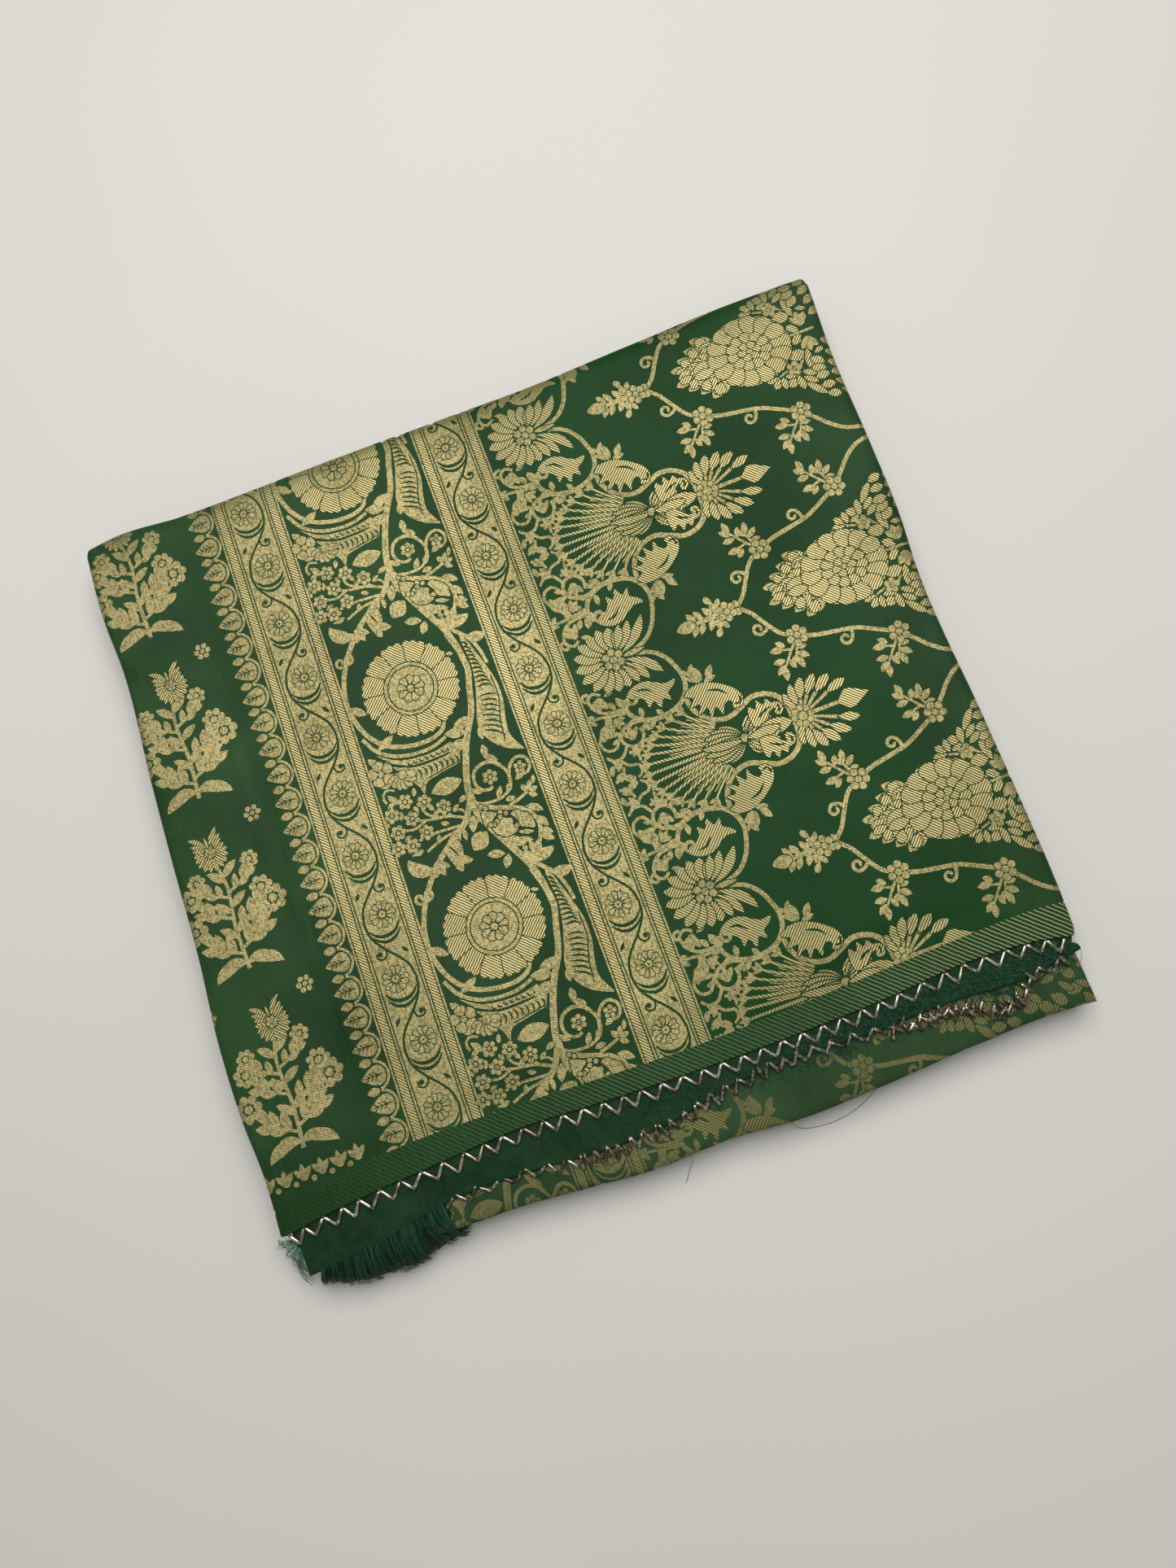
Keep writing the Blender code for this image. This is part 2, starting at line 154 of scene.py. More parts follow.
def between(rows, closed=False):
    """Faces between rows of equal numbers of points, numbered row after row."""
    count = rows.shape[1]
    near = np.arange(count if closed else count - 1)
    far = (near + 1) % count
    faces = [np.stack([a[near], a[far], b[far], b[near]], axis=1) for a, b in zip(rows, rows[1:])]
    return np.concatenate(faces)


class Dye:
    """One value in a material's nodes. Arithmetic on it adds Math nodes."""

    def __init__(self, tree, socket=None):
        self.tree = tree
        self.socket = socket

    def node(self, kind, settings, inputs, output=0):
        """Any other node: its type, its settings, and the values or links of its sockets."""
        node = self.tree.nodes.new("ShaderNode" + kind)
        for name, value in settings.items():
            setattr(node, name, value)
        for key, value in inputs.items():
            if isinstance(value, Dye):
                self.tree.links.new(value.socket, node.inputs[key])
            else:
                node.inputs[key].default_value = value
        return Dye(self.tree, node.outputs[output])

    def maths(self, operation, *others):
        return self.node("Math", {"operation": operation}, dict(enumerate((self, *others))))

    def __add__(self, other):
        return self.maths("ADD", other)

    def __sub__(self, other):
        return self.maths("SUBTRACT", other)

    def __rsub__(self, other):
        return self.node("Math", {"operation": "SUBTRACT"}, {0: other, 1: self})

    def __mul__(self, other):
        return self.maths("MULTIPLY", other)

    def __truediv__(self, other):
        return self.maths("DIVIDE", other)

    def __gt__(self, other):
        return self.maths("GREATER_THAN", other)

    def __lt__(self, other):
        return self.maths("LESS_THAN", other)

    def between(self, low, high):
        """0 below low and 1 above high, with a soft step."""
        return self.node("MapRange", {"interpolation_type": "SMOOTHSTEP"}, {0: self, 1: low, 2: high})

    def mixed(self, first, second):
        """The first colour where this is 0, and the second where it is 1."""
        return self.node("Mix", {"data_type": "RGBA"}, {0: self, 6: first, 7: second}, 2)


def cloth_finish(name, roughness, sheen, metallic=0.0):
    """A new material, its nodes, and the shader that its colours go to."""
    material = bpy.data.materials.new(name)
    material.use_nodes = True
    tree = material.node_tree
    shader = tree.nodes["Principled BSDF"]
    shader.inputs["Roughness"].default_value = roughness
    shader.inputs["Metallic"].default_value = metallic
    shader.inputs["Sheen Weight"].default_value = sheen
    shader.inputs["Sheen Roughness"].default_value = 0.4
    shader.inputs["Specular IOR Level"].default_value = 0.12
    return material, Dye(tree), shader


def into(shader, socket, value):
    """Link a value to one of the shader's sockets."""
    value.tree.links.new(value.socket, shader.inputs[socket])


def speckle(nodes, scale, stretch=(1.0, 1.0, 1.0), detail=2.0):
    """Noise in the frame's millimetres. A stretch under 1 draws it out along that axis."""
    place = nodes.node("TexCoord", {}, {}, 3)
    size = tuple(1000.0 / scale * share for share in stretch)
    place = nodes.node("VectorMath", {"operation": "MULTIPLY"}, {0: place, 1: size})
    return nodes.node("TexNoise", {}, {"Vector": place, "Scale": 1.0, "Detail": detail})


def flat_place(nodes):
    """The two coordinates of the piece's own flat layout, each from 0 to 1."""
    layout = nodes.node("UVMap", {"uv_map": "OFBake"}, {})
    return [nodes.node("SeparateXYZ", {}, {0: layout}, axis) for axis in range(2)]


ROUND_LENGTH, RIB_PITCH = 1300.0, 0.55
strip_cloth, nodes, shader = cloth_finish("Strips of green silk with gold", 0.55, 0.03)
along = flat_place(nodes)[0] * ROUND_LENGTH
fine = (along / RIB_PITCH * 2 * math.pi).maths("SINE") * 0.5 + 0.5
patch = speckle(nodes, 9.0, (1.0, 1.0, 6.0), 3.0)
gilt = patch.between(0.55, 0.60) * speckle(nodes, 60.0, (1.0, 1.0, 12.0)).between(0.44, 0.52)
green = speckle(nodes, 5.0, (1.0, 1.0, 3.0), 3.0).between(0.3, 0.75).mixed(DEEP_GREEN, LEAF_GREEN)
gold = (fine * 0.5 + speckle(nodes, 1.2) * 0.5).between(0.3, 0.7).mixed(DIM_GOLD, GOLD_THREAD)
into(shader, "Base Color", gilt.mixed(green, gold))
into(shader, "Metallic", gilt * 0.3)
bump = nodes.node("Bump", {},
                  {"Strength": 0.25, "Distance": 0.0002, "Height": fine * gilt + speckle(nodes, 0.6)})
into(shader, "Normal", bump)


def packet_outline(ends, top, front):
    """Points once round the packet, standing back from its four sides, with bent corners."""
    def end(table, way, y):
        return run(table, y) + way * ends

    def long(table, way, x):
        return run(table, x) + way * (top if way < 0 else front)

    corners = []
    for side, way, far, far_way in ((LEFT_EDGE, 1, FOLD_EDGE, 1), (LEFT_EDGE, 1, TOP_EDGE, -1),
                                    (RIGHT_EDGE, -1, TOP_EDGE, -1), (RIGHT_EDGE, -1, FOLD_EDGE, 1)):
        x = end(side, way, 0.0)
        for _ in range(4):
            y = long(far, far_way, x)
            x = end(side, way, y)
        corners.append((x, y))
    sides = []
    for n, (edge, way, sign) in enumerate(((LEFT_EDGE, 1, 1), (TOP_EDGE, -1, 1), (RIGHT_EDGE, -1, -1),
                                           (FOLD_EDGE, 1, -1))):
        axis = (n + 1) % 2
        start, stop = corners[n][axis], corners[(n + 1) % 4][axis]
        length = stop - start - 2 * sign * CORNER_BEND
        at = start + sign * CORNER_BEND + length * np.linspace(0, 1, SIDE_POINTS)
        sides.append(np.stack((end(edge, way, at), at) if axis else (at, long(edge, way, at)), axis=1))
    ring = []
    for n in range(4):
        first, corner, last = sides[n][-1], np.array(corners[(n + 1) % 4]), sides[(n + 1) % 4][0]
        ring.append(sides[n])
        for u in (0.2, 0.4, 0.6, 0.8):
            ring.append([first * (1 - u) ** 2 + corner * (2 * u * (1 - u)) + last * u * u])
    return np.concatenate(ring)


rings, heights, number = [], [], 0
round_turn = 2 * math.pi * np.linspace(0, 1, 4 * SIDE_POINTS + 16, endpoint=False)
for foot, head, ends, top, front, bulge, strips in STRIP_BUNDLES:
    cuts = np.linspace(foot, head, strips + 1)
    cuts[1:-1] += 0.16 * ripple(np.arange(strips - 1) * 1.7, 30 + number)
    for low, high in zip(cuts, cuts[1:]):
        number += 1
        stand = bulge * (2 * (0.5 * (low + high) - foot) / (head - foot) - 1) ** 2
        reach = 0.45 * ripple(np.cos(round_turn) * 3.1, number)
        reach += 0.35 * ripple(np.sin(round_turn) * 4.3, number + 50)
        sway = 0.14 * ripple(np.cos(round_turn + 1) * 3.7, number + 90) * (foot > 0 or low > 0)
        for rise, back in NOSE:
            in_by = stand + 0.55 * back
            outline = packet_outline(ends + in_by, top + in_by, front + in_by)
            middle = outline.mean(axis=0)
            inward = middle - outline
            inward /= np.linalg.norm(inward, axis=1)[:, None]
            level = low + (high - low) * rise
            rings.append(outline + inward * (reach + 0.45)[:, None])
            heights.append(np.full(len(outline), level) + sway * (level > 0.01))
rings, heights = np.array(rings), np.array(heights)
points = np.concatenate([rings, heights[:, :, None]], axis=2)
layers, around = rings.shape[:2]
developed = np.concatenate([[0], np.cumsum(np.linalg.norm(np.diff(points[:, 0], axis=0), axis=1))])
faces = between(np.arange(layers * around).reshape(layers, around), closed=True)[:, ::-1]
along = np.tile(np.arange(around + 1) / around, (layers, 1))
upward = np.tile((0.72 + 0.28 * developed / developed[-1])[:, None], (1, around + 1))
chart = np.stack([along, upward], axis=2).reshape(-1, 2)
flat = chart[between(np.arange(len(chart)).reshape(layers, around + 1))[:, ::-1].ravel()]

# the underside closes in rings round the middle, and a row of faces fills the last ring
shares = np.linspace(1, 0, UNDERSIDE_RINGS)[1:-1]
middle = rings[0].mean(axis=0)
under = np.concatenate([np.concatenate([middle + (rings[0] - middle) * share, np.zeros((around, 1))], axis=1)
                        for share in shares])
cap = np.concatenate([np.arange(around), layers * around + np.arange(len(under))]).reshape(-1, around)
points = np.concatenate([points.reshape(-1, 3), under])
last, half = cap[-1], around // 2
bridge = np.stack([last[:half - 1], last[1:half], last[::-1][1:half], last[::-1][:half - 1]], axis=1)
under_faces = np.concatenate([between(cap, closed=True), bridge])
lay = points[under_faces.ravel(), :2]
lay = (lay - lay.min(axis=0)) / (lay.max(axis=0) - lay.min(axis=0)) * (1.0, 0.7)
flat = np.concatenate([flat, lay])
strips = sewn_mesh("folded_strips", points, np.concatenate([faces, under_faces]), flat, [strip_cloth])
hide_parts("hidden_layers")


# The woven figures. The real ones are a supplementary weft of gold thread on a green satin ground, charted as
# five bands: leaf border, gold band, flower band, gold band, and the scrolling border that runs into the field.
# Each figure is drawn as outlines in millimetres, later ones over earlier ones, in the threads named here.
GREEN, GOLD, RISING, FALLING, SELVEDGE_LINES = 0, 1, 2, 3, 4
REPEAT, SMALL_REPEAT = 100.0, 25.0
FIELD_START = -16.6
LEAN = (
    # (x, how far the bands move to the side over 125 mm)
    (-160, 3), (-107, 2.5), (-86, 2.2), (-45, 1.6), (0, 0.9), (60, 0.6), (170, 0.5),
)
LONGEST_SIDE = 4.5


def through(points, step):
    """A smooth path through a few points, given as complex numbers in mm."""
    points = np.array(points, dtype=complex)
    along = np.concatenate([[0.0], np.cumsum(np.abs(np.diff(points)))])
    at = np.linspace(0, along[-1], max(int(along[-1] / step), 3) + 1)
    return run(zip(along, points.real), at) + 1j * run(zip(along, points.imag), at)


def cord(path, width, end_width=None):
    """A woven line of some width along a path."""
    path = np.array(path, dtype=complex)
    tangent = np.gradient(path)
    side = 1j * tangent / np.abs(tangent)
    half = 0.5 * np.linspace(width, width if end_width is None else end_width, len(path))
    return np.concatenate([path + side * half, (path - side * half)[::-1]])


def bowed(outline, length, turn):
    """A shape that lies along the real axis, bent round an arc."""
    if abs(turn) < 1e-6:
        return outline
    lean = turn * outline.real / length
    return length / turn * (np.sin(lean) + 1j * (1 - np.cos(lean))) + 1j * outline.imag * np.exp(1j * lean)


def leaf(length, width, turn=0.0, belly=1.0, point=0.85, count=8):
    """A leaf or petal from the origin along the real axis. A larger belly widens it nearer its tip."""
    t = (1 - np.cos(np.linspace(0, math.pi, count + 1))) / 2
    half = 0.5 * width * np.abs(np.sin(math.pi * t**belly)) ** point
    return bowed(np.concatenate([t * length + 1j * half, (t * length - 1j * half)[-2:0:-1]]), length, turn)


def disc(radius, count=12):
    """A round outline about the origin."""
    return radius * np.exp(2j * math.pi * np.arange(count) / count)


def curl(radius, turns, width, count=14):
    """A tendril's curl that starts at the origin along the real axis and winds to the left."""
    turn = np.linspace(0, 2 * math.pi * turns, count)
    reach = radius * np.linspace(1.0, 0.28, count)
    return cord(1j * radius + reach * np.exp(1j * (turn - math.pi / 2)), width, width * 0.9)


def hook(stalk, radius, turns=0.95, width=1.4):
    """A stalk that ends in a curl to the right, as one thread of gold."""
    ahead = (stalk[-1] - stalk[-2]) / abs(stalk[-1] - stalk[-2])
    turn = np.linspace(0, 2 * math.pi * turns, 18)
    spiral = -1j * radius + radius * np.linspace(1.0, 0.34, 18) * np.exp(1j * (math.pi / 2 - turn))
    return cord(np.concatenate([stalk[:-1], stalk[-1] + ahead * spiral]), width, width * 0.8)


def grown(outline, by):
    """An outline moved outwards all round."""
    tangent = np.roll(outline, -1) - np.roll(outline, 1)
    area = np.sum(outline.real * np.roll(outline.imag, -1) - np.roll(outline.real, -1) * outline.imag)
    return outline - 1j * np.sign(area) * by * tangent / np.maximum(np.abs(tangent), 1e-9)


def rimmed(thread, outline, rim=0.4):
    """A figure with a fine green line all round it."""
    return [(GREEN, grown(outline, rim)), (thread, outline)]


def put(group, at=0j, turn=0.0, size=1.0, mirror=False):
    """A group of figures, turned and moved to its place, and mirrored top to bottom if asked."""
    swapped = {RISING: FALLING, FALLING: RISING}
    placed = []
    for thread, outline in group:
        z = np.asarray(outline, dtype=complex)
        if mirror:
            z, thread = z.conj(), swapped.get(thread, thread)
        placed.append((thread, at + size * np.exp(1j * turn) * z))
    return placed


def lone(outline, at, turn=0.0, mirror=False):
    """One gold outline in its place."""
    return put([(GOLD, outline)], at, turn, 1.0, mirror)


def ray(degrees):
    return math.radians(degrees)


def rosette():
    """Twelve petals round a button, drawn on gold."""
    petals = []
    for k in range(12):
        way = np.exp(1j * ray(30 * k))
        petals += put(rimmed(GOLD, leaf(3.4, 2.15, belly=1.7, point=0.6, count=6), 0.34), 1.75 * way,
                      ray(30 * k))
    return petals + [(GREEN, disc(1.75)), (GOLD, disc(1.4, 10)), (GREEN, disc(0.45, 6))]


def posy(petals, reach, bead, button):
    """A small flower of round petals."""
    beads = [(GOLD, reach * np.exp(2j * math.pi * k / petals) + disc(bead, 8)) for k in range(petals)]
    return beads + [(GREEN, disc(button + 0.28, 8)), (GOLD, disc(button, 8))]


def tulip(length, width):
    """A three-pointed bud that opens along the real axis."""
    cup = [(GOLD, leaf(length * 0.8, width * 0.62, belly=0.8, point=0.5, count=6))]
    for turn in (-0.75, 0, 0.75):
        cup += lone(leaf(length * (0.92 if turn else 1), width * 0.42, turn * 0.5, belly=1.2), 0j, turn * 0.55)
    return cup


def sprig(length, leaf_size, turn):
    """A twig along the real axis with a pair of leaves and one at its tip."""
    stem = bowed(np.linspace(0, length * 0.72, 8) + 0j, length, turn)
    tip_turn = turn * 0.72
    group = [(GOLD, cord(stem, 0.9, 0.6))]
    group += lone(leaf(*leaf_size, count=6), stem[-1] - 0.3 * np.exp(1j * tip_turn), tip_turn)
    for side in (-1, 1):
        group += lone(leaf(*leaf_size, 0.4 * side, count=6), stem[2], turn * 0.4 + side * 0.85)
    return group


def pushed_out(group, reach, angle):
    """A group moved out along the real axis and then turned about the origin."""
    return [(thread, np.exp(1j * angle) * (z + reach)) for thread, z in group]


def round_petals(reach, radius, rim, start=0):
    """Six round petals about the origin, each with a green line round it."""
    group = []
    for k in range(6):
        group += [(thread, reach * np.exp(1j * ray(60 * k + start)) + z)
                  for thread, z in rimmed(GOLD, disc(radius, 10), rim)]
    return group


def stroke(points, width, end_width=None, step=2):
    """A green line along a smooth path through a few points."""
    return GREEN, cord(through(points, step), width, end_width)


def node_flower():
    """The small flower that sits where the vine branches."""
    return round_petals(2.85, 1.42, 0.28) + rimmed(GOLD, disc(1.3, 10), 0.3)


def lotus():
    """The full-blown flower of the field, seen from above, in three rings of hatched petals."""
    group = []
    for count, inner, length, width, start in ((14, 8, 9.8, 7.6, 4), (11, 3.8, 5.8, 4.4, 12),
                                               (6, 0.9, 4, 3.4, 0)):
        for k in range(count):
            turn = ray(start + 360 * k / count)
            thread = FALLING if 0.05 < turn < 1.4 else RISING
            group += put(rimmed(thread, leaf(length, width, belly=1.7, point=0.42, count=8), 0.42),
                         inner * np.exp(1j * turn), turn)
        group.append((GREEN, disc(inner + 0.5, 20)))
        group.append((GOLD, disc(inner + 0.1, 20)))
    return group + rimmed(GOLD, disc(1.2, 8), 0.35)


def pipal(length, height):
    """A leaf with a blunt end at the origin and a drawn-out tip along the real axis."""
    t = (1 - np.cos(np.linspace(0, math.pi, 11))) / 2
    half = 0.5 * height * np.abs(np.sin(math.pi * t**0.58)) ** 0.9
    return np.concatenate([t * length + 1j * half, (t * length - 1j * half)[-2:0:-1]])


def leaf_border(low, high, pitch=REPEAT / 9):
    """Veined leaves that point away from the bands, each in an arch, with a small leaf between."""
    group = []
    for k in range(int(low // pitch), int(high // pitch) + 2):
        y = 1j * (k * pitch + 2.9)
        turn = np.radians(np.linspace(-80, 80, 15))
        group.append((GOLD, cord(-105.3 + y + 5.35 * np.cos(turn) + 5.4j * np.sin(turn), 1)))
        group.append((GOLD, -101 + y - pipal(9.8, 7.6)))
        group.append((GREEN, cord([-102.3 + y, -109.3 + y], 0.55, 0.35)))
        for place in (-104, -105.7, -107.3):
            for side in (-1, 1):
                group.append((GREEN, cord([place + y, place - 1.5 + y + 1.45j * side], 0.5, 0.35)))
        group.append((GOLD, -104.9 + y + 0.5j * pitch - leaf(5, 3.3, belly=0.85, point=0.7, count=6)))
    return group


def slit(points, width):
    """A curved green stroke that is thickest in its middle."""
    path = through(points, 1.2)
    normal = 1j * np.gradient(path) / np.abs(np.gradient(path))
    side = 0.5 * width * normal * np.sin(np.linspace(0.35, math.pi - 0.2, len(path)))
    return GREEN, np.concatenate([path + side, (path - side)[::-1]])


def gold_band(centre, low, high, first, ground=15.6):
    """A gold band between ropes, with rosettes on either side of a winding green line."""
    left, right = centre - ground / 2, centre + ground / 2
    group = []
    edges = [(left, right, GOLD)]
    for side, edge in ((-1, left), (1, right)):
        for near, far, thread in ((0, 0.5, GREEN), (0.5, 1.2, GOLD), (1.2, 1.7, GREEN), (1.7, 4.7, FALLING),
                                  (4.7, 5.15, GREEN), (5.15, 5.9, GOLD)):
            edges.append((edge + side * near, edge + side * far, thread))
    for a, b, thread in edges:
        group.append((thread, np.array([a + 1j * low, b + 1j * low, b + 1j * high, a + 1j * high])))
    for k in range(int((low - first) // SMALL_REPEAT) - 1, int((high - first) // SMALL_REPEAT) + 2):
        unit = [stroke([6.4-1.5j, 5.7-6.5j, 2-12.6j, -2.2-17.2j, -5.2-21.4j, -6.4-26.5j], 0.95)]
        unit += put(rosette(), -1.4)
        unit.append(slit([-6.9-4.2j, -4.6-7.2j, -0.9-8.4j, 2.7-7.6j, 5.8-4.4j], 1.45))
        unit.append(slit([-6.6-6.9j, -3.8-9.8j, -0.4-10.7j, 2.9-9.4j, 5.4-6.8j], 1.3))
        unit.append(stroke([1.9-12.6j, 1.4-14.2j, 2.4-16.2j, 4.3-16.5j, 5.5-15.2j, 5.1-13.8j], 0.75, step=1))
        unit.append((GREEN, 4.1-14.4j + disc(1.05, 7)))
        unit += put([(GREEN, leaf(3.6, 1.6, 0.4, count=5))], -6.8-16.9j, 0.7)
        if k % 2:
            unit = [(thread, -outline.conj()) for thread, outline in unit]
        group += put(unit, centre + 1j * (first + SMALL_REPEAT * k))
    return group


def big_rosette():
    """The great rosette of the middle band: hatched petals with lobed ends round a ringed button."""
    group = []
    spread = np.linspace(-1, 1, 21)
    for k in range(12):
        turn = ray(30 * k + 8)
        lobes = np.abs(np.sin(1.5 * math.pi * (spread + 1)))
        reach = 17.2 + 2 * (1 - spread**6) ** 0.5 + 1 * (lobes - 0.4) * (1 - spread**6)
        outer = reach * np.exp(1j * ray(15.3) * spread)
        inner = 10.9 * np.exp(1j * ray(15) * spread[::-5])
        flat_on = abs(math.cos(turn)) > 0.66
        group += rimmed(RISING if flat_on else FALLING, np.exp(1j * turn) * np.concatenate([outer, inner]), 0.4)
    for radius, thread in ((11.2, GREEN), (10.75, GOLD), (9.5, GREEN), (9, GOLD)):
        group.append((thread, disc(radius, 30)))
    for k in range(9):
        petal = leaf(3.9, 3.1, belly=1.7, point=0.55, count=7)
        group += pushed_out(rimmed(GOLD, petal, 0.42), 1.6, ray(40 * k))
    return group + [(GREEN, disc(1.9)), (GOLD, disc(1.45, 9))]


def bloom(petals, reach, length, width, turn, button):
    """A cut-edged flower seen from above."""
    group = []
    for k in range(petals):
        petal = leaf(length, width, belly=1.6, point=0.55, count=6)
        group += pushed_out(rimmed(GOLD, petal, 0.32), reach - 0.45 * length, turn + 2 * math.pi * k / petals)
    return group + [(GREEN, disc(button + 0.3, 8)), (GOLD, disc(button, 8))]


def stems(group, table):
    """Stems from a table of (width at the root, width at the tip, points of the path)."""
    for width, end_width, points in table:
        group.append((GOLD, cord(through(points, 1.6), width, end_width)))


def leaves(group, table):
    """Leaves from a table of (x, y, heading in degrees, length, width, bend)."""
    for x, y, heading, length, width, bend in table:
        group += lone(leaf(length, width, bend, count=7), complex(x, y), ray(heading))


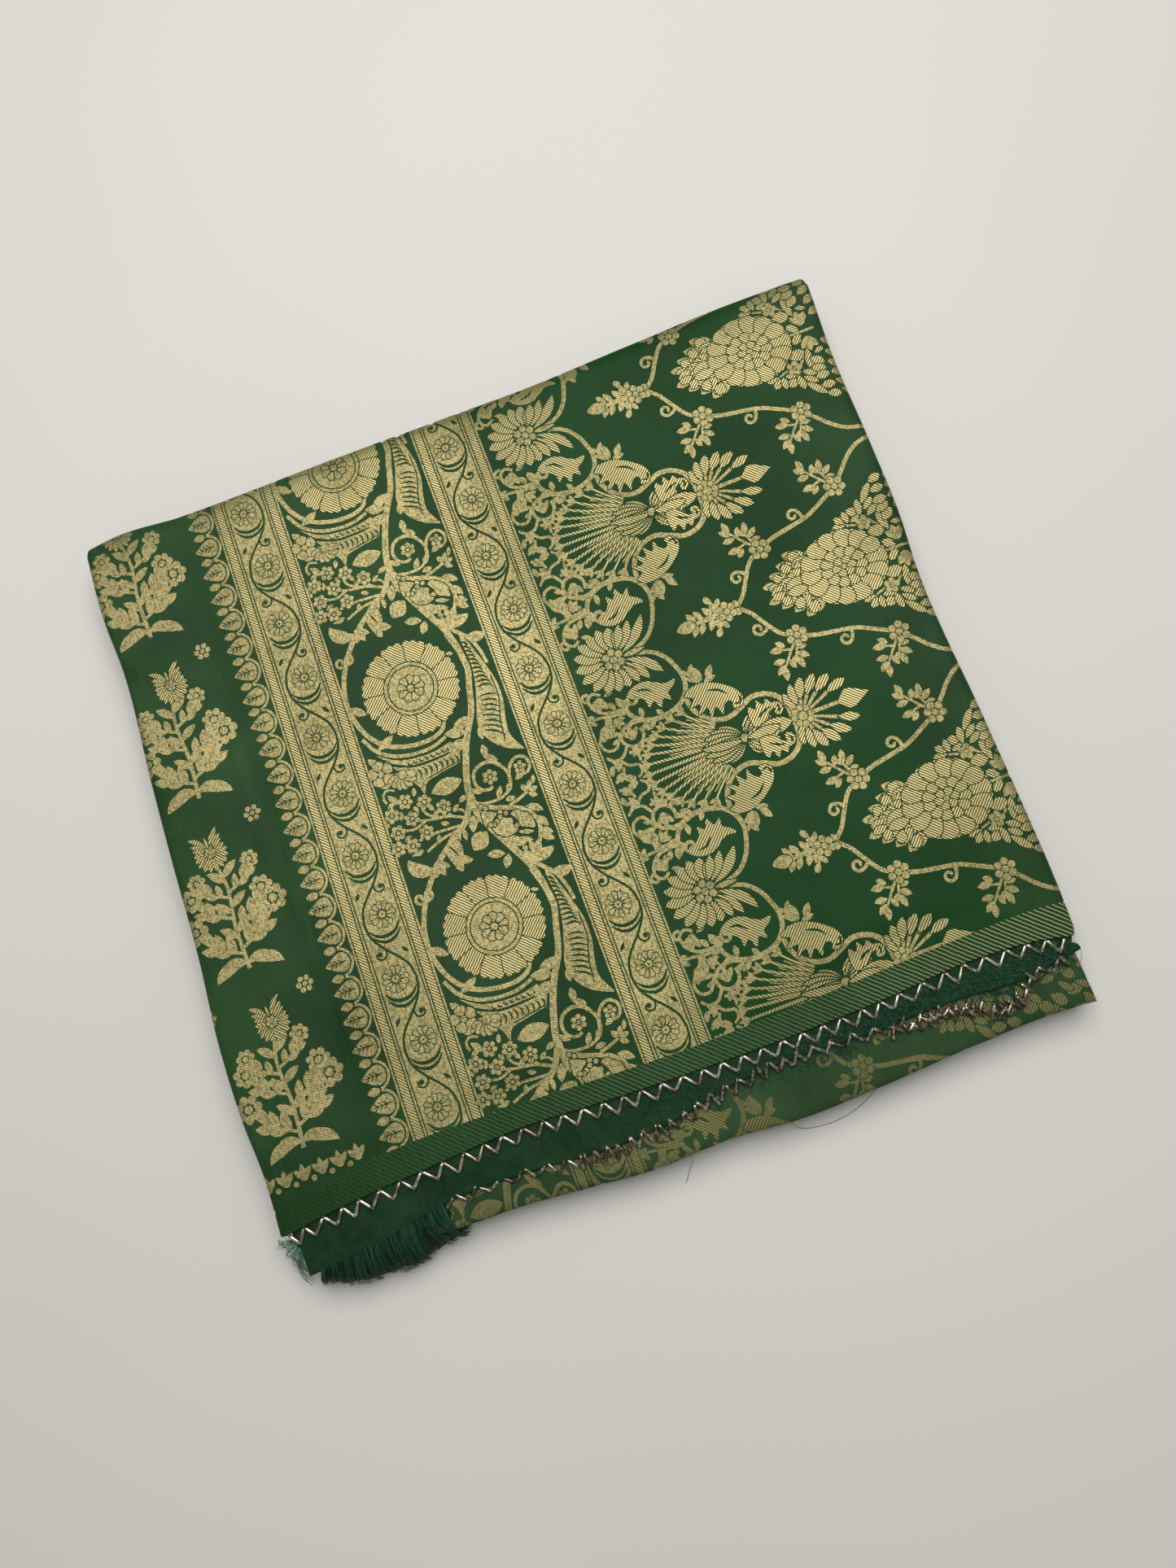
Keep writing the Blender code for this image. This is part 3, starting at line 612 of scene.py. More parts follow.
def middle_repeat():
    """One repeat of the flower band, from one great rosette to the next, whose centres are at (-45.2, 50.2)
    and 100 mm below it."""
    group = []
    stems(group, (
        (2, 1.7,
         [-70.6+60j, -71.4+53j, -70.2+44.5j, -66.8+37j, -61.5+31.6j, -55+28.8j, -48+27.7j, -42.5+28.2j,
          -38.6+30.2j, -37+33.6j]),
        (1.5, 1.4, [-70+37.5j, -66+30.8j, -60+26.6j, -52+24.6j, -45+24.6j, -38.6+26.6j]),
        (2.3, 2.7,
         [-24.6+66j, -22.2+58j, -21.3+50j, -23.4+41.5j, -25.6+33j, -31+23j, -35.2+12j, -37.4+2j, -37.2-4j]),
        (2.9, 2.3, [-37.4+1j, -36.6-7j, -33.6-14j, -29.4-22.5j, -25-31j, -22.4-40j, -21.3-50j]),
        (2.4, 1.9, [-37.6+0j, -42.5-8j, -49-12.6j, -56-18j, -62.5-25j, -67.6-33j, -70.6-41j, -71.4-48j]),
        (1.3, 1.1, [-27+14.6j, -23.4+9.6j, -20.6+4.6j, -21-0.6j, -25-3.8j, -31-4.2j, -36-3j]),
        (1.5, 1.3, [-22.2+8j, -25+10.6j, -29+11.2j, -32.8+9.2j, -34+5.2j, -32.4+1.6j, -29.2+0.6j, -27.6+1.2j]),
        (1.4, 1.2, [-21-0.6j, -20.4+3.2j, -18.6+7j, -15+9.1j, -11.9+7.2j, -11.7+3.6j, -14+1.6j, -16.2+2.2j]),
        (1.9, 1.5, [-36.6-2.4j, -31-6.4j, -25-8.6j, -20-11j, -16.8-14.6j, -15.8-19j, -17-23.4j, -18.6-26j]),
        (1.3, 1.1, [-24-8j, -20-7j, -15.8-5.4j]),
        (1.7, 1.3, [-25.2-29j, -21.4-33.6j, -16.6-39j, -14.2-45j, -13.2-51j]),
    ))
    group += put(big_rosette(), -45.2+50.2j)

    # the long leaf beside the great rosette, and the two that hang under its ring
    rim = through([-19.6+66j, -16.6+57j, -14.2+49j, -12.2+40j, -12.4+32j, -14+25j, -14.6+19j, -11.2+11.4j], 2)
    inner = through([-20.2+62j, -19.4+50j, -20.9+41j, -23.4+33j, -25.2+26j, -22.6+18.6j, -17+13.4j, -11.4+11j],
                    2)
    group.append((GOLD, np.concatenate([rim, inner[::-1]])))
    for k in range(11):
        y = 60.4 - 1.95 * k
        out = -17.8 + 0.36 * k
        group.append(slit([-20.4 + 1j * (y + 0.3), out - 1.2 + 1j * (y - 0.3), out + 1j * (y - 2.1)], 0.95))
    for k in range(8):
        share = k / 7
        start = (-20.3 - 3.2 * share) + 1j * (37.2 - 13.6 * share)
        stop = (-14 - 2 * share) + 1j * (35.4 - 16.6 * share)
        group.append(slit([start, 0.5 * (start + stop) + 0.7+0.5j, stop], 0.85))
    group.append(stroke([-13.6+44j, -13.6+34j, -16.2+25j, -17+17j], 0.5))
    hang = through([-67+29.6j, -60+24.8j, -52+22.9j, -44+22.8j, -37.4+24.2j], 2)
    group.append((GOLD, np.concatenate([hang, through([-36.4+20.6j, -46+20.2j, -55+20.8j, -62+24.2j], 2)])))
    for k in range(10):
        group += put([slit([-60.8+22.4j, -60.2+21j, -58.9+21.2j], 0.8)], 2.35 * k)
    over = through([-62+22.6j, -54+19.6j, -45+19.2j, -34.6+20.4j], 2)
    back = through([-36.8+15j, -45+13.6j, -52+11.6j, -53.6+7.6j, -54.6+11.4j, -57+15j], 2)
    group.append((GOLD, np.concatenate([over, back])))
    for k in range(9):
        group += put([slit([-55.4+18.6j, -54.4+16.6j, -55.2+14.6j], 0.85)], 2.2 * k)
    group.append(stroke([-50.4+13.6j, -44+14.6j, -37.4+15.6j], 0.5))

    # leaves
    leaves(group, (
        (-71, 51.5, -48, 8, 3.4, 0.3), (-65.6, 31.4, 14, 8.4, 3.4, 0.4), (-27.2, 31, -165, 9.5, 4.2, 0.5),
        (-30.5, 25.8, 172, 8.5, 4.2, -0.2), (-30.4, 22.4, -172, 9.5, 4.6, 0.2),
        (-24.6, 25.8, -105, 5.5, 2.6, 0.3), (-38.2, 8.4, 184, 13, 6.8, 0), (-38, 1.6, 186, 4.6, 2.2, 0.5),
        (-26.5, 13, 82, 5.4, 3, 0.2), (-22.4, 10.4, 138, 6, 2.6, 0.3), (-36.4, 3.6, -52, 5.2, 2.2, 0.4),
        (-23.2, -3.6, 70, 5, 2.4, -0.4), (-27.6, -3.8, 52, 5, 2.4, 0.3), (-18.8, 0.6, 20, 5.2, 2.6, 0.5),
        (-20.8, -5.6, 176, 4.4, 2.4, 0.3), (-16, -5.4, 108, 3.8, 2.2, 0.2), (-15.4, -5.2, 62, 4.2, 2.2, 0.2),
        (-15.2, -5.4, 6, 3.8, 2.2, 0.2), (-15.8, -6, -38, 4, 2.2, 0.2), (-13, -3.4, 64, 4, 1.8, 0.2),
        (-18.4, -10.6, -22, 7, 3.2, -0.4), (-15.8, -15.6, -52, 6.2, 2.8, -0.3),
        (-16.6, -21, -24, 5.6, 2.8, -0.3), (-16.6, -22.6, -50, 6, 3, 0.3), (-35.8, -14.6, 210, 8.8, 7.2, 0.2),
        (-38.6, -6.4, 246, 7, 3.4, 0.2), (-36.8, -9, 186, 4.4, 2.2, 0.4), (-32, -25.2, 156, 7.2, 3.4, 0.3),
        (-31, -25.6, 250, 5.6, 3.4, -0.3), (-46.6, -9.6, 262, 4.6, 2, 0.3), (-44.4, -9.8, 280, 5.2, 2, -0.3),
        (-68, 12.6, -40, 6, 2.6, -0.6), (-65.4, 9.4, 200, 4.2, 2, 0.2), (-69.6, 17.6, -20, 5, 2.8, 0.2),
        (-64.4, 17.4, 30, 5, 2.8, -0.2), (-24.6, 57.4, 160, 3.2, 1.6, 0), (-70.4, 29.2, -60, 5, 2.8, 0.4),
        (-30.2, -19.4, -40, 8.6, 4.2, 0.2), (-24.4, -19, -24, 6.2, 1.9, 0.2), (-25.2, -21.2, -34, 6, 2.2, 0.2),
        (-21.6, -23.8, -84, 4.6, 2.6, 0), (-18.8, -24.4, -96, 4.8, 2.8, 0), (-24.4, -24.4, -80, 3, 2, 0),
        (-65.6, 1.4, 70, 3.6, 1.9, 0.2), (-58.4, 1.6, 100, 3.6, 1.9, 0.2), (-53.4, -2, 40, 3.6, 1.9, 0.2),
        (-51.6, -4.8, -30, 3.6, 1.9, 0.2), (-63.6, -5.4, 200, 3.6, 1.9, 0.2), (-61, -12.4, 190, 4.2, 2.2, 0.2),
        (-53.6, -8.8, 250, 3.6, 1.9, 0.2), (-45.4, -1.8, 20, 3.2, 1.7, 0.2), (-52.2, 0.6, 120, 3.4, 1.8, 0.2),
        (-58, 8.6, 70, 3.6, 2, 0.2), (-70.8, 0.4, 100, 3.4, 1.8, 0.2), (-66, -13.4, 30, 3.6, 1.9, 0.2),
    ))
    group += lone(leaf(14.5, 5, 1.5, belly=1.2, point=0.7, count=12), -26.6-26.4j, -0.95)
    group += lone(leaf(8.5, 4.6, 1.3, belly=0.9, count=9), -17.5-37.5j, -0.75)
    group += lone(leaf(12.5, 5.6, -1.9, belly=1, count=12), -59.4-20.4j, 3.45)
    group += lone(leaf(12.5, 6.6, -0.35, belly=0.9, count=9), -49.8-11.4j, -1.5)
    group += lone(leaf(6.5, 3.4, 0.5), -50-20j, -0.7) + lone(leaf(5.4, 3.2, 0.3), -50.4-20.5j, -1.5)
    group += put([slit([-1.6-3.6j, -0.4-6.4j, 0.8-8.6j], 0.8)], -49.6-11j)
    group += put(tulip(6.6, 6.6), -58.4-18.6j, -1.2)
    group += lone(curl(2.1, 0.95, 1.3), -68.2-31.8j, 3.3, mirror=True)
    group += lone(curl(2.2, 0.95, 1.4), -66.2-31.2j, -0.5)

    # flowers
    stems(group, (
        (1.2, 1, [-43-8.8j, -49-8.2j, -57-7.6j]), (1.2, 1, [-46-10j, -53-11j, -60-13.6j]),
        (1.2, 1, [-41.4-6.6j, -48-3.4j, -55-2.2j, -61-0.6j]), (1.1, 0.9, [-50-3j, -55.5+0.4j, -57+4j]),
        (1.1, 0.9, [-57-2j, -62-3.6j, -66-2.6j]), (1.1, 0.9, [-46.4-4.2j, -48.4-1j]),
        (1.1, 0.9, [-59-8j, -62-8.6j, -65-9.4j]), (1, 0.8, [-40.6-5.6j, -42.5-2.6j, -45.5-2.2j]),
        (1.1, 0.9, [-68.8+9.8j, -69.6+12.6j, -67.6+14.8j, -64.4+13.6j]),
    ))
    for x, y, turn in ((-68.5, 4.6, 0.2), (-62, 8, 0.7), (-55, 5.2, 0.1), (-61.4, 0.7, 0.5), (-48.4, 0.6, 0.3),
                       (-68.2, -2.6, 0), (-57.8, -6.4, 0.4), (-64.6, -9.4, 0.8), (-70.2, -8.6, 0.1),
                       (-27.6, 5.2, 0.3)):
        group += put([(GREEN, disc(3.3, 10))] + posy(6, 2.1, 1.05, 0.8), complex(x, y), turn)
    group += put([(GREEN, disc(2.6, 8))] + posy(5, 1.7, 0.95, 0.65), -15.4+4.8j)
    group += put(bloom(5, 2.9, 4.2, 4.6, 0.4, 1.2), -67.4+21.8j)
    for k in range(7):
        group += put(rimmed(GOLD, leaf(5.8, 3, belly=1.4, point=0.55), 0.3), -59.8+18.2j, ray(186 + 28 * k))
    group += rimmed(GOLD, -59.4+18.6j + disc(1.7, 10), 0.3)
    cup = through([-33.6-14.2j, -30.6-13.6j, -28.4-11.4j, -27-12.4j, -24.8-13.4j, -25.6-15.4j, -24-17.8j,
                   -27-19.2j, -30.2-18.8j, -32.4-17j], 1.2)
    lobe = through([-25-11.4j, -22.8-10.4j, -20.4-12.2j, -18.2-13.8j, -17.4-17j, -17.8-19.6j, -20.6-18.4j,
                    -22.8-17.2j, -23-14.6j], 1.2)
    bract = through([-35.6-6.2j, -32.4-7.6j, -29.8-9.2j, -32-10.8j, -33.4-12.2j, -35.6-12.8j, -35.9-9j], 1.2)
    for outline in (cup, lobe, bract):
        group += rimmed(GOLD, outline, 0.45)
    for x, y in ((-24, -16.4), (-35, -4.6), (-33.4, -5.8), (-28.6, -9.2), (-29.2, -11), (-30.8, -12.2),
                 (-32.2, -13), (-33.6, -12.6), (-26.6, -10.4)):
        group += [(GREEN, complex(x, y) + disc(1.35, 8)), (GOLD, complex(x, y) + disc(0.95, 8))]
    return group


def daisy():
    """The pointed-petalled flower of the scrolling border. It faces left, with long leaves at its right."""
    group = []
    for k in range(13):
        turn = 60 + 20 * k
        thread = RISING if 90 < turn < 180 or turn > 270 else FALLING
        long = 8.6 + 3 * max(-math.cos(ray(turn)), 0)
        petal = leaf(long, 4.5, belly=1.25, point=0.7)
        group += pushed_out(rimmed(thread, petal, 0.4), 4.3, ray(turn))
    for angle, length, bend, width in ((20, 17, 0.75, 3.9), (38, 12.4, 0.55, 3.6), (54, 9.6, 0.4, 3.4)):
        for side in (-1, 1):
            blade = leaf(length, width, bend * side, belly=1.25, point=0.8)
            group += pushed_out(rimmed(RISING, blade, 0.4), 4.4, side * ray(angle))
    group += rimmed(GOLD, leaf(9, 2.2, 0, belly=0.8) + 4.2, 0.4)
    return group + round_petals(3.1, 1.5, 0.34, 30) + rimmed(GOLD, disc(1.45, 10), 0.34)


def pointed_leaf(points, cut, stalk, thread):
    """A broad hatched leaf from its outline, with a green slit and the green of its hooked stalk."""
    outline = through(points + points[:1], 1.5)
    return [*rimmed(thread, outline, 0.4), slit(cut, 1), stroke(stalk, 1, 0.7, step=0.9)]


def half_field():
    """Half of one repeat of the scrolling border and the field. It runs up from the palmette's axis at 0 to the
    axis of the daisy and the lotus at 50, and the other half is its mirror."""
    group = []
    stems(group, (
        (2.1, 1.9,
         [90.8+1.2j, 90.6+5.4j, 88.6+10.4j, 84+13.6j, 78.6+14.2j, 73.6+12j, 67.6+9.9j, 61.6+11.4j, 56.8+16j,
          54.9+22j, 55.6+26.5j]),
        (1.6, 2.1,
         [38.4+49.8j, 44+49j, 49.4+46.8j, 53.4+42.6j, 55.8+37.4j, 57+32.4j, 56+27j, 52.4+22.8j, 46.4+20.6j,
          40+20.6j, 35+22.4j]), (1.9, 1.7, [36+22.2j, 32.6+25.2j, 31.2+29.4j, 31.8+33j]),
        (1.5, 1.2, [57.6+34j, 60+31.6j, 62.5+30.4j]),
    ))
    # the leaf in the first scroll
    group += pointed_leaf([32.6+32.6j, 34.6+35.2j, 38.4+37j, 42.6+36.8j, 46.6+34.4j, 49.4+32.8j, 53.8+33j,
                           52+30.6j, 49.2+28.8j, 49.6+25.4j, 46.8+27.4j, 44.6+23.8j, 42.6+27.8j, 40.2+25.6j,
                           39.8+29j, 38+31j, 35.8+31.6j], [37.4+34.4j, 41+33.8j, 43.8+31j],
                          [35.4+33j, 34.4+32.2j, 33.6+32.6j], FALLING)
    group += lone(curl(2.2, 0.95, 1.5, 18), 33.2+32.4j, -1.9)
    # the leaf in the second scroll, and the bud on it
    group += pointed_leaf([57.8+26.8j, 62+27j, 67+25.2j, 71.4+22.2j, 74.8+18.6j, 75.6+15j, 73.6+12.4j,
                           70.6+12.8j, 71.4+15.4j, 69.8+16.4j, 67.6+15j, 66.2+11.8j, 64.6+15.8j, 61.4+12.4j,
                           61.4+16.8j, 57.2+14.8j, 59.2+19.2j, 54.8+19j, 57.6+22.4j, 54.4+24.2j],
                          [63.6+23.2j, 68+21.6j, 70.6+18.8j], [74.8+16.4j, 74+13.8j, 72+14.2j], RISING)
    leaves(group, ((61.4, 29, 150, 4.4, 2.4, 0), (63, 27.6, 96, 7.2, 3, 0.3), (65.4, 27, 66, 6.4, 3, -0.3),
                   (63.8, 26.8, 18, 5.2, 2.6, -0.3), (62.4, 27.4, 130, 5.8, 2.8, 0.2)))
    leaves(group, (
        (59, 32, 40, 4.8, 2.2, 0.5), (31.4, 29.6, 118, 5.8, 3.2, -0.2), (31.8, 28.6, 70, 4.8, 2.6, 0.2),
        (36.4, 23, 80, 4.6, 2.4, 0.3), (33.6, 23.6, 200, 4, 2.2, 0.3), (40.6, 19.8, 215, 5.2, 2.4, -0.2),
        (44.4, 20.2, 110, 4.4, 2.2, 0.3),
    ))
    # the fountain of buds
    for k, tip in enumerate((31.5+0j, 31.8+3.9j, 33.6+7.6j, 36+10.6j, 39+13.4j, 42.6+15.6j, 46.8+17.4j,
                             51.4+18.4j)):
        root = 56.5 + 0.75 * k + 1j * (0.2 + 1.32 * k)
        path = through([root, 0.62 * root + 0.38 * tip - 0.10j * k, 0.28 * root + 0.72 * tip - 0.16j * k, tip],
                       2)
        heading = float(np.angle(path[-1] - path[-3]))
        group += rimmed(FALLING, cord(path, 1.5, 0.9), 0.35)
        group += put(tulip(4.6, 3.5), path[-1] - 0.8 * np.exp(1j * heading), heading)
        if 0 < k < 7:
            inner = through([root + 0.7j, 0.6 * root + 0.4 * tip + 0.9j, 0.35 * root + 0.65 * tip + 1.3j], 2)
            group.append((GOLD, cord(inner, 0.9, 0.5)))
    for angle, length in ((62, 11), (47, 13.5), (33, 16), (19, 17.4), (6, 17.8)):
        petal = leaf(length, 3, 0.38, belly=1.2, point=0.8, count=9)
        group += put(rimmed(RISING, petal, 0.5), 70.5+0.3j, math.pi - ray(angle) * 0.82)
    group += rimmed(GOLD, 70.4 + disc(1.7, 10), 0.3)
    # the neck, and the palmette
    group += rimmed(RISING, 74 + leaf(16, 6.4, 0, belly=1.2, point=0.7), 0.45)
    for angle, length, width, bend, thread in ((72, 9, 4.4, -0.5, RISING), (54, 11, 5, -0.6, FALLING),
                                               (37, 12.5, 4.8, -0.6, RISING), (20, 13, 4.6, -0.4, FALLING),
                                               (5, 13.5, 4.2, -0.2, RISING)):
        group += put(rimmed(thread, leaf(length, width, bend, belly=1.1, point=0.75, count=9), 0.45), 71.5+0.4j,
                     ray(angle))
    group += pointed_leaf([75.4+2.6j, 74.9+6.2j, 76.2+10.9j, 78.3+8.7j, 79.9+12.3j, 81.7+9.5j, 83.7+11.6j,
                           85+9.3j, 87.4+9j, 88.7+6.9j, 88+4.5j, 85.9+3.8j, 84.8+5.4j, 86+6.8j, 84+6.8j,
                           81.6+4.2j, 78.4+2.2j], [78.4+5.4j, 81.4+7.2j, 84.4+8j],
                          [86.9+7.8j, 87.4+6.2j, 86.4+5.2j], RISING)
    for angle, reach, wide in ((114, 11, 3.6), (94, 13, 3.6), (75, 15, 3.8), (57, 17, 3.8), (40, 19.2, 3.8),
                               (23, 21.8, 3.6)):
        turn = ray(angle)
        stem = 94.5 + np.exp(1j * turn) * np.array([2.6, reach - 7])
        group.append((GOLD, cord(stem, 0.9, 1.5)))
        lens = leaf(8.8, wide, -0.2, belly=1.2, point=0.75)
        group += put(rimmed(RISING if angle < 60 else FALLING, lens, 0.42),
                     94.5 + np.exp(1j * turn) * (reach - 8.4), turn)
    group.append((GOLD, cord([97+0j, 111+0j], 1.7, 1.4)))
    group += rimmed(RISING, np.array([109+0j, 113+3.9j, 115.4+3.7j, 122+0j, 115.4-3.7j, 113-3.9j]), 0.35)
    for k in range(5):
        group += rimmed(GOLD, 94.5 + 3.3 * np.exp(1j * ray(45 * k)) + disc(1.3, 9), 0.28)
    group += rimmed(GOLD, 94.5 + disc(1.9, 12), 0.3)
    # the daisy, and the small filling beside the rope
    group += put(daisy(), 34+49.8j)
    stems(group, (
        (1.5, 1.2, [31.4+29.4j, 27+29.4j, 22.6+30.4j, 19.4+33.6j, 18.6+37.6j, 21+39.6j, 24+38j]),
        (1.4, 1.1, [31.2+28.4j, 25.6+28j, 21.6+28.8j, 17.6+29j]),
        (1.3, 1.1, [22.8+28.6j, 22+25.2j, 19.4+23.8j]),
        (1.4, 1.4, list(30+17.4j + 4.5 * np.exp(1j * np.radians(np.linspace(75, 390, 12))))),
        (1.4, 1.2, [34.6+22.2j, 29.6+22.2j, 25.8+19.6j, 21.5+14.4j, 18.4+15.2j, 17+18.4j, 18.6+21.6j]),
        (1.3, 1.1, [26.6+14.4j, 23.4+10.4j, 19.6+10.2j, 17.4+12.4j]),
        (1.3, 1.1, [21.6+10.2j, 24.4+6.6j, 28.4+5.6j]), (1.3, 1.1, [17.4+1.6j, 21+3.4j, 22.4+6.4j]),
        (1.2, 1, [28.4+5.6j, 28.8+2.6j, 26.4+0.6j]), (1.3, 1.1, [26.4+11.4j, 29.4+9.8j, 29.6+6.8j]),
    ))
    group += lone(curl(2, 1, 1.3), 19.4+39.6j, 2.4) + lone(curl(2.2, 1, 1.3), 20.4+24j, 3.3)
    group += lone(leaf(5.4, 3.4, 0.4), 18.8+18.6j, 1.2)
    for x, y, heading, length, width in ((23.4, 37.2, 250, 6.8, 5.6), (20.4, 19.8, 40, 6, 5),
                                         (29.8, 15.6, 92, 6.4, 5.4), (25.2, 26.2, 320, 5.2, 4.8),
                                         (22.6, 8.4, 190, 4.6, 4.4), (21.6, 4.8, 240, 4.6, 4.2),
                                         (28.6, 12.8, 290, 4.6, 4.2), (25.4, 1, 180, 4, 3.8)):
        group += put(tulip(length, width), complex(x, y), ray(heading))
    leaves(group, (
        (27.6, 30.2, 112, 4.4, 2.4, 0.3), (24.6, 28.6, 250, 4.6, 2.4, -0.3), (26.6, 29, 330, 5, 2.2, 0.2),
        (18.8, 30.4, 190, 3.8, 2, 0.2), (24.6, 22.4, 118, 4.4, 2.2, -0.2), (33.6, 18.2, 20, 4.8, 2.2, 0.2),
        (33.2, 13.8, -10, 4.4, 2.2, -0.2), (18.2, 8.6, 250, 4.4, 2.2, 0.2), (31.6, 10.4, 70, 4.2, 2, 0.2),
        (25.2, 17.6, 190, 3.8, 2, 0.2), (18.6, 26.2, 130, 3.6, 2, 0), (29.4, 38.6, 196, 4.6, 2, 0.2),
    ))
    # the field's vine
    node_a, node_b, node_c = 84+50j, 104.8+30.8j, 142.4+17.4j
    stems(group, (
        (1.7, 1.7, [87+50j, 91+46.4j, 95.4+39.4j, 99.4+33.8j, node_b]),
        (1.8, 1.7, [node_b, 111+28.4j, 119+26.8j, 127+25.2j, 134.6+21.6j, node_c]),
        (1.7, 1.7, [node_c, 146.6+13.2j, 151.2+8.2j, 156.6+4.2j, 164+2.2j]),
        (1.3, 1, [node_a, 76+49.4j, 69+49.8j]),
    ))
    group.append((GOLD, hook([96+38.8j, 94.2+37j, 92.6+36.4j], 2.5)))
    group.append((GOLD, hook([125.4+25.6j, 125.2+23.4j, 124.4+21.6j], 2.5)))
    for node in (node_b, node_c):
        for twig in ([-2.2-2.4j, -6-6.8j, -9.2-10.8j], [-4.4-4.4j, -7.4-3.6j], [-1.4-3.2j, -3.2-7.6j]):
            group.append((GOLD, cord(node + np.array(twig), 1.1, 0.8)))
        for x, y, *rest in (
                (-6.8, -3.3, 172, 5.8, 3, 0.1), (-6, -2.7, 136, 4.4, 2.5, 0.1),
                (-7.8, -7.8, 180, 5.2, 2.8, -0.1), (-8.6, -9.6, 212, 5.2, 2.8, 0.1),
                (-9, -10.4, 254, 5.6, 2.8, 0.1), (-6.4, -8, 284, 4.4, 2.4, 0.2),
                (-3.3, -7.2, 236, 4.4, 2.3, -0.1), (-3.1, -7.6, 280, 5.8, 2.8, 0.1),
                (-2.6, -6.2, 320, 5.4, 2.7, 0.1), (-2, -4.6, 354, 4.2, 2.3, 0.1)):
            leaves(group, ((node.real + x, node.imag + y, *rest),))
        group += put(node_flower(), node, 0.3, 1.06)
    for x in (80, 77, 73, 70):
        for side in (-1, 1):
            leaves(group, ((x, 50 + side * 0.5, 180 - side * 52, 5.4, 2.7, -0.2 * side),))
    for side in (-1, 1):
        group += put(sprig(6.4, (3.9, 2.1), 0.1), 80.6+50j + 1.8j * side, ray(180 - 56 * side))
    group += put(rimmed(GOLD, leaf(8, 5.2, belly=0.85, point=0.7), 0.35), 69.4+50j, math.pi)
    for turn in (-28, 28):
        group += rimmed(GOLD, node_a + 3.6 * np.exp(1j * ray(turn)) + disc(1.5, 10), 0.28)
    group += put(node_flower(), node_a - 1.2, 0.5)
    # the lotus, with the leaves that lead to its tip and the sprays behind it
    leaves(group, (
        (119, 59.5, 158, 8.5, 5, -0.3), (115, 56.8, 160, 8, 4.6, -0.2), (110.5, 54.2, 162, 7.5, 4.2, -0.2),
        (106, 52.4, 170, 6.5, 3.6, 0),
    ))
    for x, off, heading, length, width, thread in ((121, 9.4, 158, 8.4, 5.4, RISING),
                                                   (117.4, 8.6, 120, 5.4, 4.6, FALLING),
                                                   (116.4, 5.8, 152, 8, 4.8, FALLING),
                                                   (112.6, 5.2, 118, 5, 4.2, RISING),
                                                   (112, 3.2, 160, 7.4, 4.2, RISING),
                                                   (108.2, 2.9, 125, 4.6, 3.6, FALLING),
                                                   (117, 1.9, 170, 9, 4.2, RISING),
                                                   (107.6, 1.3, 166, 6, 3.2, FALLING)):
        for side in (-1, 1):
            blade = leaf(length, width, 0.2 * side, belly=1.2, point=0.65)
            group += put(rimmed(thread, blade, 0.36), complex(x, 50 + side * off), ray(heading))
    group += [(GOLD, cord([140.4+34.6j, 144.2+35.8j], 0.9)), (GOLD, cord([150.2+36.4j, 155.4+41.8j], 1))]
    for x, y, heading, length, width in (
            (134.6, 33.8, -2, 5.6, 2.7), (140.3, 33.2, 216, 4.8, 3), (141.4, 33.8, -97, 5.2, 2.8),
            (142.4, 33.8, -17, 5.2, 2.6), (142.4, 28.8, 30, 4.4, 3.8), (147.3, 32.6, -86, 6.8, 3),
            (149.8, 33.6, -34, 6, 2.8), (149.4, 31, -42, 6.2, 2.7), (149.4, 28.2, -52, 9.6, 3),
            (147, 40.4, 6, 6.8, 5), (155.3, 42.2, -103, 9.2, 3.2), (155.2, 49, 214, 5.4, 3.4),
            (155, 37.8, -42, 6, 3.9), (153.8, 33.6, -24, 6, 3.6), (153.9, 29.2, -4, 5.8, 3.7),
            (157.3, 39.4, 12, 4.4, 2.2), (154.6, 24.8, -10, 5.8, 3.5), (155.6, 20.8, -20, 5.6, 3.5),
            (161, 34, -30, 5.8, 3.6), (160.4, 29.2, -16, 5.8, 3.6), (161, 25, -24, 5.8, 3.6),
            (161.8, 38.8, -34, 5.8, 3.6), (161.8, 44, -26, 5.8, 3.6), (161.8, 20.6, -24, 5.6, 3.4)):
        group += put(rimmed(RISING, leaf(length, width, 0.1, belly=1.15, point=0.65), 0.42), complex(x, y),
                     ray(heading))
    for x in range(168, 198, 6):
        for y in range(17, 50, 5):
            spot = complex(x + 1.6 * math.sin(2.1 * y), y + 1.3 * math.sin(1.3 * x))
            lens = leaf(6.4, 3.4 + 0.7 * math.sin(x + 2 * y), 0.3, belly=1.15, point=0.65)
            group += put(rimmed(RISING, lens, 0.36), spot, ray(-30 + 42 * math.sin(1.7 * x + 0.9 * y)))
    group += put(tulip(6.8, 7), 157.4+47.4j, ray(-96)) + [(GOLD, cord([149+50j, 161.5+50j], 1.1))]
    group += put([(GREEN, disc(3.2, 8))] + posy(5, 2, 1.3, 0.9), 147.3+35.9j)
    group += [(thread, 133+50j + z.real + 0.87j * z.imag) for thread, z in lotus()]
    return group


def field_repeat():
    """One repeat of the scrolling border and the field, mirrored about the palmette's axis at y 0."""
    half = half_field()
    return half + put(half, mirror=True)


def divided(outline, step):
    """An outline with points added so that none of its sides is longer than a step."""
    after = np.roll(outline, -1)
    counts = np.ceil(np.abs(after - outline) / step).astype(int)
    return np.concatenate([a + (b - a) * np.arange(n) / n for a, b, n in zip(outline, after, counts) if n > 0])


def leaned(group):
    """The bands stand a little askew in the packet, more so towards the left."""
    leaned_group = []
    for thread, outline in group:
        z = divided(outline, 12.0)
        pull = 2.2 * np.exp(-((z.real - 34.0) / 26.0) ** 2 - ((z.imag - 33.0) / 30.0) ** 2)
        leaned_group.append((thread, z + run(LEAN, z.real) * (z.imag - 20.0) / 125.0 - 1j * pull))
    return leaned_group


